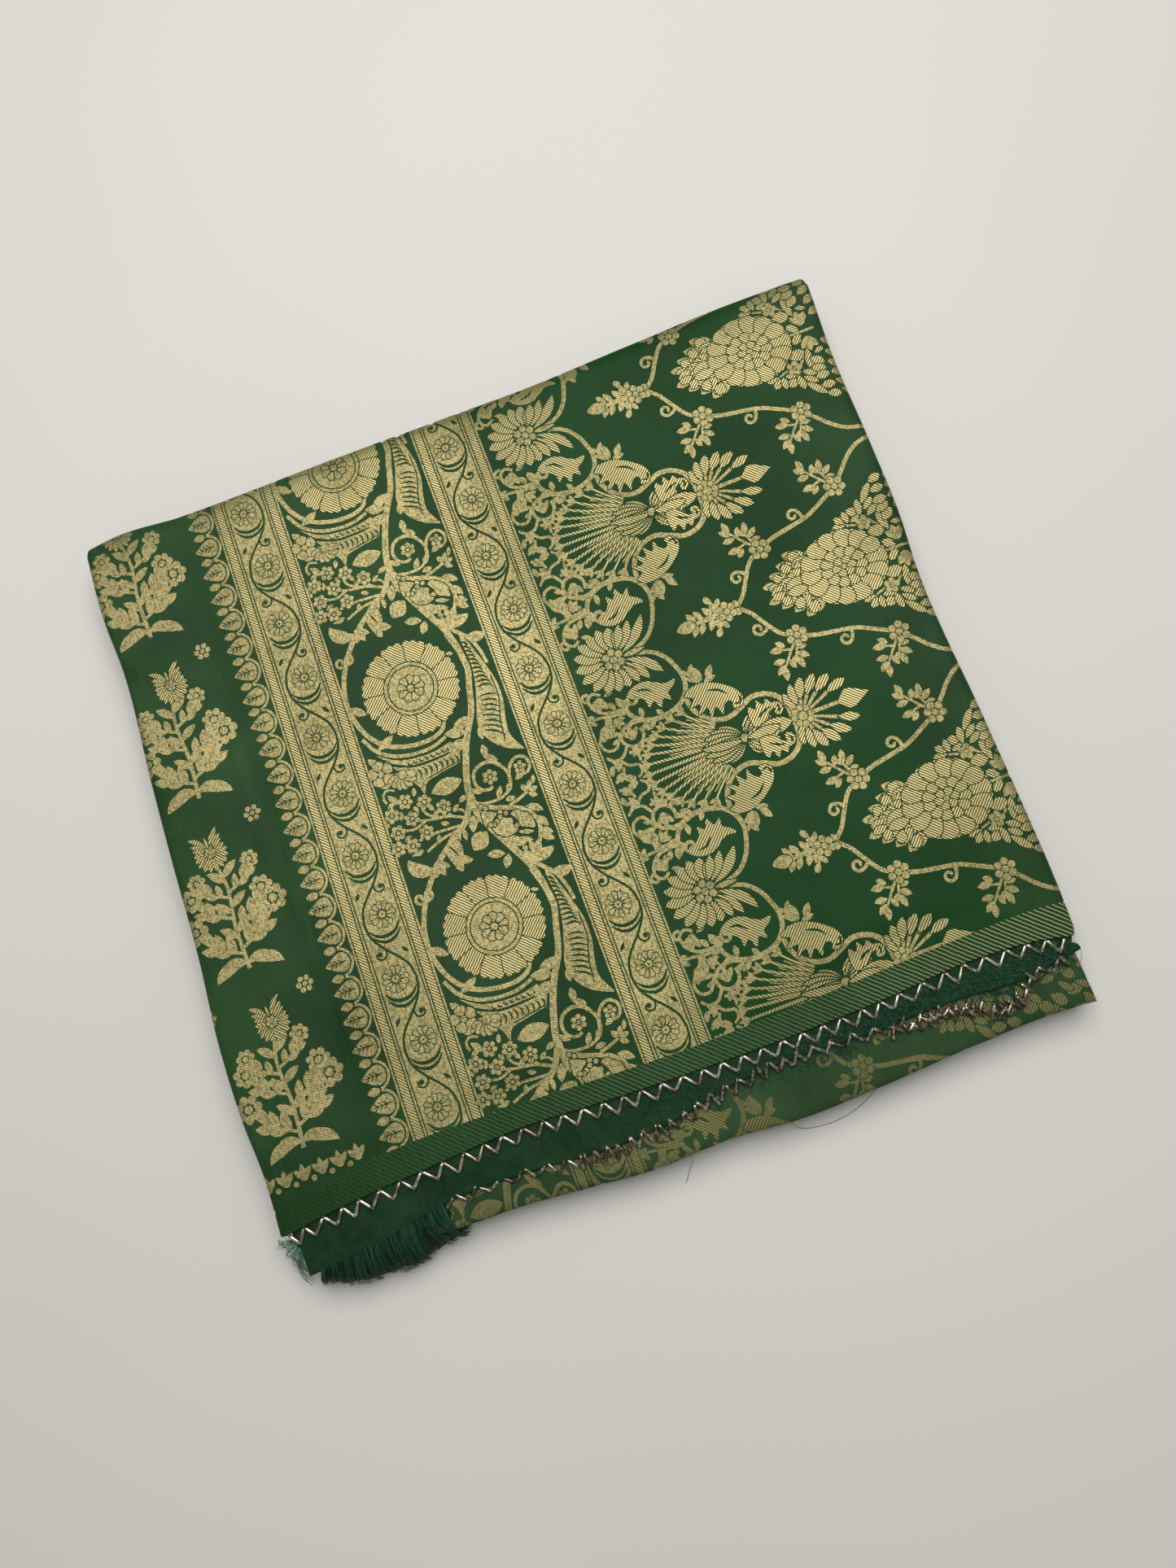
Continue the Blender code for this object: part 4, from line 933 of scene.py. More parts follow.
def flowering_stem(tall, lean):
    """A plain flowering stem for the cloth's end: a stalk with pairs of leaves and side flowers."""
    stalk = through([0j, lean * 0.15 + 0.3j * tall, -lean * 0.1 + 0.62j * tall, lean * 0.4 + 0.86j * tall], 2)
    group = [(GOLD, cord(stalk, 1.7, 1.1))]
    for side in (-1, 1):
        group += lone(leaf(15, 4.8, -1.3 * side, belly=1.2, count=12), stalk[1], 0.5 * math.pi - 1.2 * side)
    for share, side, size in ((0.14, -1, 1.45), (0.19, 1, 1.5), (0.38, 1, 1.25), (0.44, -1, 1.25),
                              (0.63, -1, 1), (0.68, 1, 1)):
        spot = stalk[int(share * (len(stalk) - 1))]
        arm = through([spot, spot + side * 6 * size + 3j * size, spot + side * 11 * size + 8.5j * size], 1.4)
        group.append((GOLD, cord(arm, 1.3, 1)))
        for k, out in ((2, -1), (3, 1), (5, -1), (6, 1), (8, -1)):
            heading = 0.5 * math.pi - side * (0.9 + 0.5 * out)
            group += lone(leaf(5.6 * size, 2.7 * size, 0.3 * side), arm[min(k, len(arm) - 1)], heading)
        group += put(posy(7, 2.6, 1.2, 1.15), arm[-1] + 1.2j * size, 0.3 * share, size)
    for spot, turn in ((0.05, 2.6), (0.08, 0.5), (0.27, 2.2), (0.31, 0.9), (0.52, 2.3), (0.56, 0.8),
                       (0.77, 2.2), (0.82, 0.9)):
        place = stalk[int(spot * (len(stalk) - 1))]
        group += lone(leaf(8.5, 3.4, 0.4 if turn > 1.5 else -0.4), place, turn)
    return group + put(daisy(), stalk[-1] + 1.5j, 1.7, 0.5)


def end_piece():
    """The end of the cloth, left of the leaf border, with plain flowering stems over a row of small buds."""
    group = []
    for y, lean in ((-101, 5), (-31, -5), (39, 5), (109, -5)):
        group += put(flowering_stem(54, lean), complex(-138, y))
        for x in (-159, -120):
            group += put(posy(6, 2.4, 1.1, 1), complex(x, y + 57))
    for x in range(-162, -117, 7):
        group += put(tulip(6.4, 5.4), x - 112.5j, 0.5 * math.pi) + [(GOLD, x - 3.6-112.6j + disc(1.1, 8))]
    return group


def whole_cloth(low=-135.0, high=172.0):
    """The top stretch's whole pattern."""
    group = leaned(end_piece() + leaf_border(low, high) + gold_band(-85.4, low, high, -4.9))
    group += leaned(gold_band(2.9, low, high, -9.0, 14.8))
    for k in range(-2, 3):
        group += leaned(put(middle_repeat(), 1j * REPEAT * k))
        group += leaned(put(field_repeat(), 1j * (FIELD_START + REPEAT * k)))
    return group


def spared(outline, slack=0.05):
    """An outline without the points that a straight line serves as well."""
    count = len(outline)
    keep = np.zeros(count, bool)
    far = int(np.argmax(np.abs(outline - outline[0])))
    keep[0] = keep[far] = True
    spans = [(0, far), (far, count)]
    while spans:
        i, j = spans.pop()
        if j > i + 1:
            line = outline[j % count] - outline[i]
            off = outline[np.arange(i + 1, j)] - outline[i]
            off = np.abs((off * np.conj(line)).imag) / abs(line) if abs(line) > 1e-9 else np.abs(off)
            k = int(np.argmax(off))
            if off[k] > slack:
                keep[i + 1 + k] = True
                spans += [(i, i + 1 + k), (i + 1 + k, j)]
    return outline[keep]


def inside(outline, spots):
    """Which spots an outline winds round."""
    turns = np.zeros(len(spots), int)
    for a, b in zip(outline, np.roll(outline, -1)):
        side = ((b - a).conjugate() * (spots - a)).imag
        up = (a.imag <= spots.imag) & (b.imag > spots.imag) & (side > 0)
        down = (a.imag > spots.imag) & (b.imag <= spots.imag) & (side < 0)
        turns += up.astype(int) - down
    return turns != 0


def shown_threads(figures, border, spots):
    """The thread that shows at each spot, and -1 outside the cut."""
    order = np.argsort(spots.real)
    across = spots.real[order]
    threads = np.full(len(spots), GREEN)
    for thread, outline in figures:
        first, last = np.searchsorted(across, (outline.real.min(), outline.real.max()))
        near = order[first:last]
        high = spots[near].imag
        near = near[(high >= outline.imag.min()) & (high <= outline.imag.max())]
        if len(near):
            threads[near[inside(outline, spots[near])]] = thread
    threads[~inside(border, spots)] = -1
    return threads


def packed(cells, count):
    """The numbers that are in use, and the same cells renumbered without the others."""
    used = np.unique(cells)
    number = np.zeros(count, int)
    number[used] = np.arange(len(used))
    return used, number[cells]


def figured_cloth(name, group, border, grid, place, square, material):
    """A piece of brocade. Its flat cut is divided along the outlines of its figures, each cell takes the thread
    that shows there, and the cut is then laid in its place in the packet. The flat layout covers the square
    (left, low, span) of the pattern."""
    low, high = border.real.min() + 1j * border.imag.min(), border.real.max() + 1j * border.imag.max()
    figures = []
    for thread, outline in group:
        if outline.real.max() > low.real and outline.real.min() < high.real:
            if outline.imag.max() > low.imag and outline.imag.min() < high.imag:
                inner = np.clip(outline.real, low.real - 1, high.real + 1)
                inner = spared(inner + 1j * np.clip(outline.imag, low.imag - 1, high.imag + 1))
                if len(inner) > 2:
                    figures.append((thread, divided(inner, LONGEST_SIDE)))
    spots, lines, count = [], [], 0
    for outline in [border, *(outline for _, outline in figures)]:
        ring = count + np.arange(len(outline))
        spots.append(outline)
        lines.append(np.stack([ring, np.roll(ring, -1)], axis=1))
        count += len(outline)
    spots, lines = np.concatenate(spots), np.concatenate(lines)

    # the second round keeps only the lines where two threads meet
    for again in (False, True):
        spots = np.concatenate([spots, grid])
        corners = [Vector((z.real, z.imag)) for z in spots.tolist()]
        made = delaunay_2d_cdt(corners, lines.tolist(), [], 0, 1e-4, False)
        flat = np.array([corner[:] for corner in made[0]])
        cells = np.array(made[2])
        middles = flat[cells].mean(axis=1)
        threads = shown_threads(figures, border, middles[:, 0] + 1j * middles[:, 1])
        if not again:
            sides = np.sort(cells[:, [[0, 1], [1, 2], [2, 0]]].reshape(-1, 2), axis=1)
            code = sides[:, 0] * len(flat) + sides[:, 1]
            order = np.argsort(code, kind="stable")
            code, owner = code[order], np.repeat(threads, 3)[order]
            meet = (code[1:] == code[:-1]) & (owner[1:] != owner[:-1])
            used, lines = packed(sides[order[1:][meet]], len(flat))
            spots = flat[used, 0] + 1j * flat[used, 1]
    used, cells = packed(cells[threads >= 0], len(flat))
    x, y = flat[used, 0], flat[used, 1]
    across, up = place(x + 0.05, y) - place(x - 0.05, y), place(x, y + 0.05) - place(x, y - 0.05)
    normals = np.cross(across, up)
    normals /= np.maximum(np.linalg.norm(normals, axis=1), 1e-9)[:, None]
    left, foot, span = square
    chart = np.stack([(x - left) / span, (y - foot) / span], axis=1)
    return sewn_mesh(name, place(x, y), cells, chart, [material], normals, threads[threads >= 0])


# each colour as its dark and its light shade
FIELD_GREEN = (0.001, 0.027, 0.003, 1.0), (0.007, 0.056, 0.010, 1.0)
FOLD_GREEN = (0.012, 0.036, 0.012, 1.0), (0.036, 0.084, 0.032, 1.0)
SELVEDGE_GREEN = (0.007, 0.033, 0.007, 1.0), (0.014, 0.056, 0.013, 1.0)
SELVEDGE_LINE = (0.145, 0.205, 0.09, 1.0), (0.33, 0.33, 0.175, 1.0)
GAP_GREEN = (0.052, 0.068, 0.018, 1.0)


def brocade(name, square, painted_shade_factor=1.0):
    """The woven finish: satin with fine streaks, gold that shows its twill, and hatched figures. It reads its
    flat millimetres from the piece's own layout."""
    material, nodes, shader = cloth_finish(name, 0.5, 0.02)
    left, low, span = square
    across, up = flat_place(nodes)
    x, y = across * span + left, up * span + low
    thread = nodes.node("Attribute", {"attribute_name": "thread"}, {}, 2)
    gold = thread > 0.5
    rising = (thread > 1.5) * (thread < 2.5)
    falling = (thread > 2.5) * (thread < 3.5)
    band = thread > 3.5

    def rows(place, pitch, gap, soft=0.12):
        """1 on the threads of a row of parallel lines and 0 in the gaps between them."""
        return ((place / pitch).maths("PINGPONG", 0.5) * 2.0).between(gap - soft, gap + soft)

    uneven = speckle(nodes, 3.0) - 0.5
    up_lines = rows(y - x + uneven * 0.4, 1.35, 0.4)
    down_lines = rows(y + x + uneven * 0.4, 1.35, 0.4)
    twill = rows(x * 0.55 + y + uneven * 0.6, 0.66, 0.34, 0.3)
    grain = speckle(nodes, 0.75, (1.0, 0.6, 1.0), 1.0).between(0.32, 0.6)
    plain = twill * 0.5 + grain * 0.3 + 0.04
    hatch = rising * up_lines + falling * down_lines + (gold - rising - falling) * plain
    selvedge = rows(x + y * 1.05 + uneven * 0.7, 2.15, 0.72, 0.12) * (x / 380.0 + 0.58)
    shine = band * selvedge + (gold - band) * hatch

    streaks = speckle(nodes, 1.0, (0.9, 0.07, 1.0), 3.0)
    clouds = speckle(nodes, 38.0)
    cloth_tone = (streaks * 0.25 + clouds * 0.75).between(0.15, 0.85)
    if painted_shade_factor < 1.0:
        green = cloth_tone.mixed(*FOLD_GREEN)
    else:
        # The green changes with x: painted sheen lightens it at the left, from x -90 to 60 mm it fades to the
        # darker field green, which holds to 118 mm, and past 160 mm it is the lighter green again.
        left_green = cloth_tone.mixed(DEEP_GREEN, LEAF_GREEN)
        edge_green = x.between(118.0, 160.0).mixed(cloth_tone.mixed(*FIELD_GREEN), left_green)
        green = x.between(-90.0, 60.0).mixed(left_green, edge_green)
    band_green = (streaks * 0.6 + clouds * 0.4).between(0.2, 0.8).mixed(*SELVEDGE_GREEN)
    green = band.mixed(green, band_green)
    worn = speckle(nodes, 0.7, (1.0, 0.4, 1.0)) * 0.5 + clouds * 0.5
    gilt = worn.between(0.15, 0.6).mixed(DIM_GOLD, GOLD_THREAD)
    # Painted shade: the gold is darker towards the top fold's roll, from y 134 mm on. It is also duller from x
    # 3 to 78 mm, most between x 16 and 60 mm.
    duller_gold_and_roll_shade = x.between(3.0, 16.0) * (1.0 - x.between(60.0, 78.0)) + y.between(134.0, 158.0) * 1.4
    # The last factor dims the whole gold of a copy of this brocade: painted shade, used for the low fold.
    lit = shine.between(0.05, 0.95) * (1.0 - duller_gold_and_roll_shade * 0.22) * painted_shade_factor
    pale_lines = x.between(40.0, 160.0).mixed(*SELVEDGE_LINE)
    figure = lit.mixed(band.mixed(GAP_GREEN, green), band.mixed(gilt, pale_lines))
    into(shader, "Base Color", gold.mixed(green, figure))
    into(shader, "Metallic", lit * (gold - band) * 0.6)
    into(shader, "Roughness", gold * -0.06 + 0.5)
    relief = shine * 0.8 + speckle(nodes, 0.35, (1.0, 0.5, 1.0), 1.0) * 0.6
    into(shader, "Normal", nodes.node("Bump", {}, {"Strength": 0.35, "Distance": 0.00025, "Height": relief}))
    return material


# The fold halfway across the width, face up. The real one is the brocade itself, turned back on itself at mid
# width, so it lies lowest in front, reaches furthest forward and shows a strip of the same figures.
SHELF, AIR = 11.7, 0.3
FOLD_HEIGHT, FRONT_SLOPE = 4.2, 0.06
FOLD_NOSE = 4.5
SELVEDGE = (
    # (x, y)
    (-159.8, -128.5), (-140.6, -126.2), (-101.5, -124), (-62.4, -122.7), (-24.6, -125.1), (39.3, -127.4),
    (78.4, -127.3), (118.3, -125.7), (143.5, -128), (158, -131.4),
)
FOLD_BACK, FOLD_UNDER = 26.0, 18.0
FOLD_LEFT, FOLD_RIGHT, FOLD_CAP = -153.5, 155.0, 1.8
FOLD_SQUARE = (-154.0, -40.0, 320.0)


def front_height(x, y):
    """Height of the lowest fold's upper face, which falls slowly in front of the selvedge."""
    return SHELF + AIR + FOLD_HEIGHT - FRONT_SLOPE * np.maximum(run(SELVEDGE, x) - y, 0.0)


def fold_place(x, s):
    """Where a point of the fold's flat cut lies: s runs from under the layers above, round the nose, and back.
    The plies close on each other at both ends."""
    bend = run(FOLD_EDGE, x) + FOLD_NOSE
    top = front_height(x, bend)
    half = 0.5 * (top - SHELF - AIR)
    arc = math.pi * math.sqrt(0.5 * (FOLD_NOSE**2 + 1.6**2))
    turn = np.clip(-s / arc, 0.0, 1.0) * math.pi
    y = bend + np.where(s > 0, s, 0.0) - FOLD_NOSE * np.sin(turn) + np.maximum(-s - arc, 0.0)
    z = np.where(s > 0, front_height(x, y), SHELF + AIR + half + half * np.cos(turn))
    wave = 0.35 * ripple(x / 31.0 + s * 0.01, 4) + 0.2 * ripple(x / 11.0 - s * 0.02, 5)
    hold = ease((s + arc) / 6.0) * (1 - ease((s - 4.0) / 8.0))
    z = z + wave * hold * 0.8
    middle = 0.5 * (front_height(x, np.maximum(y, bend)) + SHELF + AIR)
    end = np.clip(np.maximum(x - FOLD_RIGHT, FOLD_LEFT - x) / FOLD_CAP + 1.0, 0.0, 1.0)
    return np.stack([x, y, middle + (z - middle) * np.sqrt(1.0 - end * end)], axis=1)


fold_columns = np.linspace(FOLD_LEFT, FOLD_RIGHT, 90)
fold_steps = np.concatenate([np.arange(-17, -11, 2.0), np.arange(-11, 3, 0.8), np.arange(3, 26, 3.0)])
fold_border = np.concatenate([fold_columns - 1j * FOLD_UNDER, FOLD_RIGHT + 1j * fold_steps,
                              fold_columns[::-1] + 1j * FOLD_BACK, FOLD_LEFT + 1j * fold_steps[::-1]])
cap = np.array([0.1, 0.4, 0.9, 1.5])
between_caps = np.concatenate([FOLD_LEFT + cap, np.linspace(-150.5, 152.0, 86), FOLD_RIGHT - cap])
grid_x, grid_y = np.meshgrid(between_caps, fold_steps)
fold_grid = (grid_x + 1j * grid_y).ravel()
fold_figures = put(whole_cloth(-20.0, 45.0), -40.5-9.0j)
# The fold's copy has its gold dimmed to 0.36 of the face's: painted shade on the low fold.
fold_cloth = brocade("Brocade at the mid width fold", FOLD_SQUARE, 0.36)
fold = figured_cloth("mid_width_fold", fold_figures, fold_border, fold_grid, fold_place, FOLD_SQUARE,
                     fold_cloth)
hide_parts("bottom_fold")


# The second stretch, wrong side up. The real one is the next quarter of the width, whose own selvedge shows in
# front of the first. Seen from the back the silk is plain, dark and a little rumpled.
SECOND_EDGE = (
    # (x, y)
    (-154.5, -144.8), (-127.8, -143), (-96.9, -138.2), (-66.4, -138.7), (-33.5, -141.7), (-9.3, -140.7),
    (10.3, -137.2), (41.7, -135.2), (71.5, -137.2), (104.8, -137.2), (130.6, -139.2), (155.5, -136.2),
)
SECOND_LEFT, SECOND_PLY = -154.5, 1.3
SECOND_LENGTH, SECOND_SPAN = 310.0, 320.0
BACK_GREEN = (0.004, 0.024, 0.008, 1.0), (0.012, 0.046, 0.017, 1.0)


def second_height(x, y):
    """The face of the second stretch, with its soft rumples."""
    behind = y - run(SECOND_EDGE, x)
    rumple = 0.30 * ripple(x / 17.0 + y / 60.0, 11) + 0.22 * ripple(x / 7.5 - y / 25.0, 12)
    return front_height(x, y) + SECOND_PLY + rumple * (1 - ease((y + 130.0) / 8.0)) * ease(behind / 2.0)


edge_shares = np.array([0.0, 0.0005, 0.0016, 0.0032])
columns = np.concatenate([edge_shares, np.linspace(0.005, 0.995, 250), [0.9968, 0.9984, 0.9995, 1.0]])
steps = np.concatenate([[(-SECOND_PLY, -0.1), (-1.0, 0.35), (-0.35, 0.5), (0.0, 0.15)],
                        [(0.0, -back) for back in np.linspace(0.5, 26.0, 22)]])
rows = []
for drop, back in steps:
    x = SECOND_LEFT + columns * SECOND_LENGTH
    y = run(SECOND_EDGE, x) - back
    ahead = run(SELVEDGE, x) - y
    right = run(RIGHT_EDGE, y) - 3.9 * (1 - ease((ahead - 0.8) / 4.0))
    x = SECOND_LEFT + columns * (right - SECOND_LEFT)
    end = np.clip(1.0 - np.minimum(x - SECOND_LEFT, right - x) / 1.5, 0.0, 1.0)
    rise = second_height(x, y) + drop - front_height(x, y)
    rows.append(np.stack([x, y, front_height(x, y) + rise * np.sqrt(1.0 - end * end)], axis=1))
rows = np.array(rows)
chart = np.stack([(rows[:, :, 0] - SECOND_LEFT) / SECOND_SPAN,
                  np.tile((np.arange(len(rows)) * 1.2 / SECOND_SPAN)[:, None], (1, len(columns)))], axis=2)
back_cloth, nodes, shader = cloth_finish("Wrong side of the silk", 0.55, 0.03)
tone = speckle(nodes, 1.2, (0.8, 0.2, 1.0), 3.0) * 0.35 + speckle(nodes, 14.0) * 0.65
into(shader, "Base Color", tone.between(0.25, 0.75).mixed(*BACK_GREEN))
relief = speckle(nodes, 0.5) * 0.3 + speckle(nodes, 3.6, (1.0, 0.7, 1.0)) * 2.0
into(shader, "Normal", nodes.node("Bump", {}, {"Strength": 0.45, "Distance": 0.0006, "Height": relief}))
faces = between(np.arange(rows.shape[0] * rows.shape[1]).reshape(rows.shape[:2]))
second = sewn_mesh("second_stretch", rows.reshape(-1, 3), faces, chart.reshape(-1, 2), [back_cloth])
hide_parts("second_layer")


# The fringe of the cut end. The real one is the warp itself: the weft is drawn out and the loose silk threads
# fan out over the edge of the packet and hang to the table.
FRINGE_REACH = (
    # (x of the root, drift along the edge, reach ahead, height of the tip)
    (-151.5, -5, -4.5, 2), (-146, -4.6, -7.5, 1.4), (-137, -2.4, -11.5, 1.2), (-126, 0.2, -13.5, 1.6),
    (-114, 1.8, -14.8, 3), (-102, 4.2, -13.4, 5.5),
)
LOCKS, LOCK_THREADS, FREE_THREADS = 74, 9, 560
FRINGE_GREEN = (0.004, 0.024, 0.011, 1.0), (0.020, 0.115, 0.060, 1.0)
TABLE_GAP = 0.35


def tube_faces(count, rings, sides):
    """The faces of many tubes at once, whose points are numbered tube after tube and ring after ring."""
    numbers = np.arange(count * rings * sides).reshape(count, rings, sides)
    k = np.arange(sides)
    a, b = numbers[:, :-1, k], numbers[:, :-1, (k + 1) % sides]
    c, d = numbers[:, 1:, (k + 1) % sides], numbers[:, 1:, k]
    return np.stack([a, b, c, d], axis=-1).reshape(-1, 4)


def ring_round(centre, side, rise, width, turns):
    """Rings of points round centres, at some turns."""
    return [centre + (side * math.cos(a) + rise * math.sin(a)) * width for a in turns]


def spun(paths, radius, sides, thin):
    """Fine threads of a few sides along many paths at once: their points and faces."""
    count, steps = paths.shape[:2]
    tangent = np.gradient(paths, axis=1)
    tangent /= np.linalg.norm(tangent, axis=2)[:, :, None]
    side = np.cross(tangent, (0.13, 0.21, 0.97))
    side /= np.maximum(np.linalg.norm(side, axis=2), 1e-9)[:, :, None]
    rise = np.cross(side, tangent)
    width = np.reshape(radius, (-1, 1, 1)) * np.linspace(1.0, thin, steps)[None, :, None]
    rings = ring_round(paths, side, rise, width, 2 * math.pi * np.arange(sides) / sides)
    points = np.stack(rings, axis=2).reshape(-1, 3)
    return points, tube_faces(count, steps, sides)


def thread_piece(name, paths, radius, material, sides=4, thin=0.6):
    """A bunch of threads as one piece. Each thread has its own row in the flat layout."""
    points, faces = spun(paths, radius, sides, thin)
    count, steps = paths.shape[:2]
    row = (np.arange(count) + 0.5) / count
    along = np.linspace(0.02, 0.98, steps)
    flat = np.stack([np.broadcast_to(along[None, :, None], (count, steps, sides)),
                     np.broadcast_to(row[:, None, None], (count, steps, sides))
                     + 0.3 / count * np.arange(sides)[None, None, :] / sides], axis=-1)
    return sewn_mesh(name, points, faces, flat.reshape(-1, 2), [material])


def swaying(rng, count, u, strength, slow, fast):
    """A sideways wave along each thread that grows towards its tip."""
    height = rng.normal(0, strength, (count, 1))
    turns = u * rng.uniform(slow, fast, (count, 1)) + rng.uniform(0, 1, (count, 1))
    return height * np.sin(2 * math.pi * turns) * u


count = LOCKS * LOCK_THREADS + FREE_THREADS
thread_silk, nodes, shader = cloth_finish("Loose green silk thread", 0.5, 0.05)
row = flat_place(nodes)[1]
strand = nodes.node("TexWhiteNoise", {"noise_dimensions": "1D"}, {"W": (row * float(count)).maths("FLOOR")})
tone = (strand * 0.6 + speckle(nodes, 7.0) * 0.4) * (1.0 - row.between(0.53, 0.56) * 0.75)
into(shader, "Base Color", tone.between(0.3, 0.8).mixed(*FRINGE_GREEN))
into(shader, "Roughness", tone * 0.2 + 0.4)

rng = np.random.default_rng(21)
lock = np.concatenate([np.repeat(np.arange(LOCKS), LOCK_THREADS), np.full(FREE_THREADS, -1)])
free = lock < 0
lock_x = np.sort(rng.uniform(-149.0, -99.5, LOCKS))
lock_drift = rng.normal(0, 2.0, LOCKS)
lock_reach = rng.uniform(0.84, 1.08, LOCKS)
lock_rise = rng.uniform(0.6, 2.0, LOCKS)
root_x = np.where(free, rng.uniform(-149.5, -98.5, count), lock_x[lock] + rng.normal(0, 0.4, count))
drift = np.where(free, rng.normal(0, 1.2, count), lock_drift[lock] + rng.normal(0, 0.5, count))
drift = run(FRINGE_REACH, root_x, 1) + drift
ahead = np.where(free, rng.uniform(0.72, 0.97, count), lock_reach[lock] * rng.uniform(0.93, 1.04, count))
ahead = run(FRINGE_REACH, root_x, 2) * ahead
rise = np.where(free, 0.0, lock_rise[lock])
tip = np.maximum(run(FRINGE_REACH, root_x, 3) + 0.6 * rise + rng.normal(0.2, 0.5, count), TABLE_GAP)
root_y = run(SECOND_EDGE, root_x) - 0.2
root_z = front_height(root_x, root_y) + rng.uniform(0.3, 1.25, count)
u = np.linspace(0, 1, 9)[None, :]
wave = swaying(rng, count, u, 0.3, 0.6, 1.6)
arch = (0.5 * wave + rise[:, None] * 0.6) * np.sin(math.pi * u)
paths = np.stack([
    root_x[:, None] + drift[:, None] * u**1.3 + wave,
    root_y[:, None] + 1.6 * (1 - u) ** 3 + ahead[:, None] * np.sin(0.5 * math.pi * u),
    root_z[:, None] - (root_z - tip)[:, None] * u**2.2 + arch,
], axis=2)
thickness = np.where(free, 0.19, rng.uniform(0.08, 0.13, count))
fringe_threads = thread_piece("cut_end_fringe", paths, thickness, thread_silk)
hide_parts("fringe")


# The loose threads at the packet's corner. They are the same warp ends, pulled out past the left edge, where
# they stand away from the folds in a small frayed tuft.
TUFT_REACH = (
    # (y of the root, reach outwards, reach ahead, height of the tip)
    (-137.4, -4.7, -10.6, 1.2), (-135.4, -6.9, -8.4, 1.5), (-133.3, -8.8, -4, 3), (-131.6, -12.3, 0.5, 6),
)
# Painted light: the same silk as the fringe, painted lighter where the single threads stand out in the light.
TUFT_GREEN = (0.022, 0.11, 0.055, 1.0), (0.10, 0.32, 0.19, 1.0)
locks, each = 13, 6
count = locks * each
root_y = np.repeat(np.linspace(-138.0, -131.2, locks), each) + rng.normal(0, 0.25, count)
outward = run(TUFT_REACH, root_y, 1) * np.repeat(rng.uniform(0.7, 1.0, locks), each)
outward = outward * rng.uniform(0.8, 1.05, count)
ahead = run(TUFT_REACH, root_y, 2) * np.repeat(rng.uniform(0.6, 1.1, locks), each) + rng.normal(0, 0.7, count)
tip = np.maximum(run(TUFT_REACH, root_y, 3) + rng.normal(0.5, 1.2, count), TABLE_GAP)
root_x = np.full(count, -155.7) + rng.uniform(0, 1.6, count)
root_z = rng.uniform(14.9, 15.6, count)
wave = swaying(rng, count, u, 0.5, 0.5, 1.5)
paths = np.stack([
    root_x[:, None] + outward[:, None] * np.sin(0.5 * math.pi * u),
    root_y[:, None] + ahead[:, None] * u**1.4 + wave,
    root_z[:, None] - (root_z - tip)[:, None] * u**2.2,
], axis=2)
tuft_silk, nodes, shader = cloth_finish("Single green threads in the light", 0.5, 0.1)
into(shader, "Base Color", speckle(nodes, 2.0).between(0.35, 0.65).mixed(*TUFT_GREEN))
tuft = thread_piece("corner_threads", paths, rng.uniform(0.07, 0.11, count), tuft_silk)
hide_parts("corner_tuft")


# The top stretch, face up. The real one is the first quarter of the width: brocade from selvedge to fold, with
# its two ends and the fold at its far side rolled under, and a woven selvedge band along its near edge.
HEIGHT, RIM_FOOT = 20.0, 15.1
END_ROLL, TOP_ROLL = 2.5, 6.0
ROLL_TURN = math.radians(156)
VALLEYS = (
    # (x at the selvedge, x at the top fold, half width, depth)
    (-121, -113, 9, 0.7), (-8, 4, 20, 0.3), (92, 104, 16, 0.4),
)
CREASES = (
    # (x and y at one end, x and y at the other, half width, depth), a ridge where the depth is negative
    (-158, -62, -60, -48, 5, 0.22), (-60, -8, 60, 0, 6, 0.25), (30, -40, 158, -52, 4.5, 0.2),
    (-150, 40, -20, 52, 7, -0.18), (70, 60, 162, 44, 5, 0.22), (-140, 118, 10, 128, 6, 0.2),
    (104, 140, 150, 100, 5, -0.2), (-112, -100, -118, 60, 2, -0.25), (60, -112, 158, -106, 4, 0.25),
    (-150, -112, 30, -108.5, 3, 0.22), (14, 60, 22, 150, 4, 0.16), (120, -20, 150, 20, 7, -0.22),
)
BAND_TOP = (
    # (x, y) of the selvedge band's upper boundary
    (-168, -120.8), (-150, -118), (-117, -113.9), (-70, -114.3), (-40, -116), (0, -118.2), (60, -118),
    (110, -117), (150, -117.4), (166, -119.5),
)


def panel_height(x, y):
    """Height of the top stretch's face, with its valleys, its creases and the sink towards the selvedge."""
    behind = y - run(SELVEDGE, x)
    along = behind / (run(TOP_EDGE, x) - run(SELVEDGE, x))
    sink = 1.0 - ease(behind / 26.0)
    for low_x, high_x, half_width, depth in VALLEYS:
        off = (x - low_x - (high_x - low_x) * along) / half_width
        sink = sink + depth * np.exp(-off * off) * ease(behind / 45.0)
    for x0, y0, x1, y1, half_width, depth in CREASES:
        start, way = x0 + 1j * y0, x1 - x0 + 1j * (y1 - y0)
        share = ((x + 1j * y - start) * np.conj(way)).real / abs(way) ** 2
        off = ((x + 1j * y - start) * np.conj(way)).imag / abs(way) + 1.5 * np.sin(5 * share + x0)
        end = ease((share + 0.15) / 0.3) * ease((1.15 - share) / 0.3)
        sink = sink + depth * np.exp(-((off / half_width) ** 2)) * end
    pucker = 0.22 * np.sin(x / 2.9) * np.exp(-(((behind - 9.5) / 4.0) ** 2)) * (0.5 + 0.5 * ripple(x / 40.0, 3))
    return HEIGHT - np.maximum(sink, -0.1) + pucker


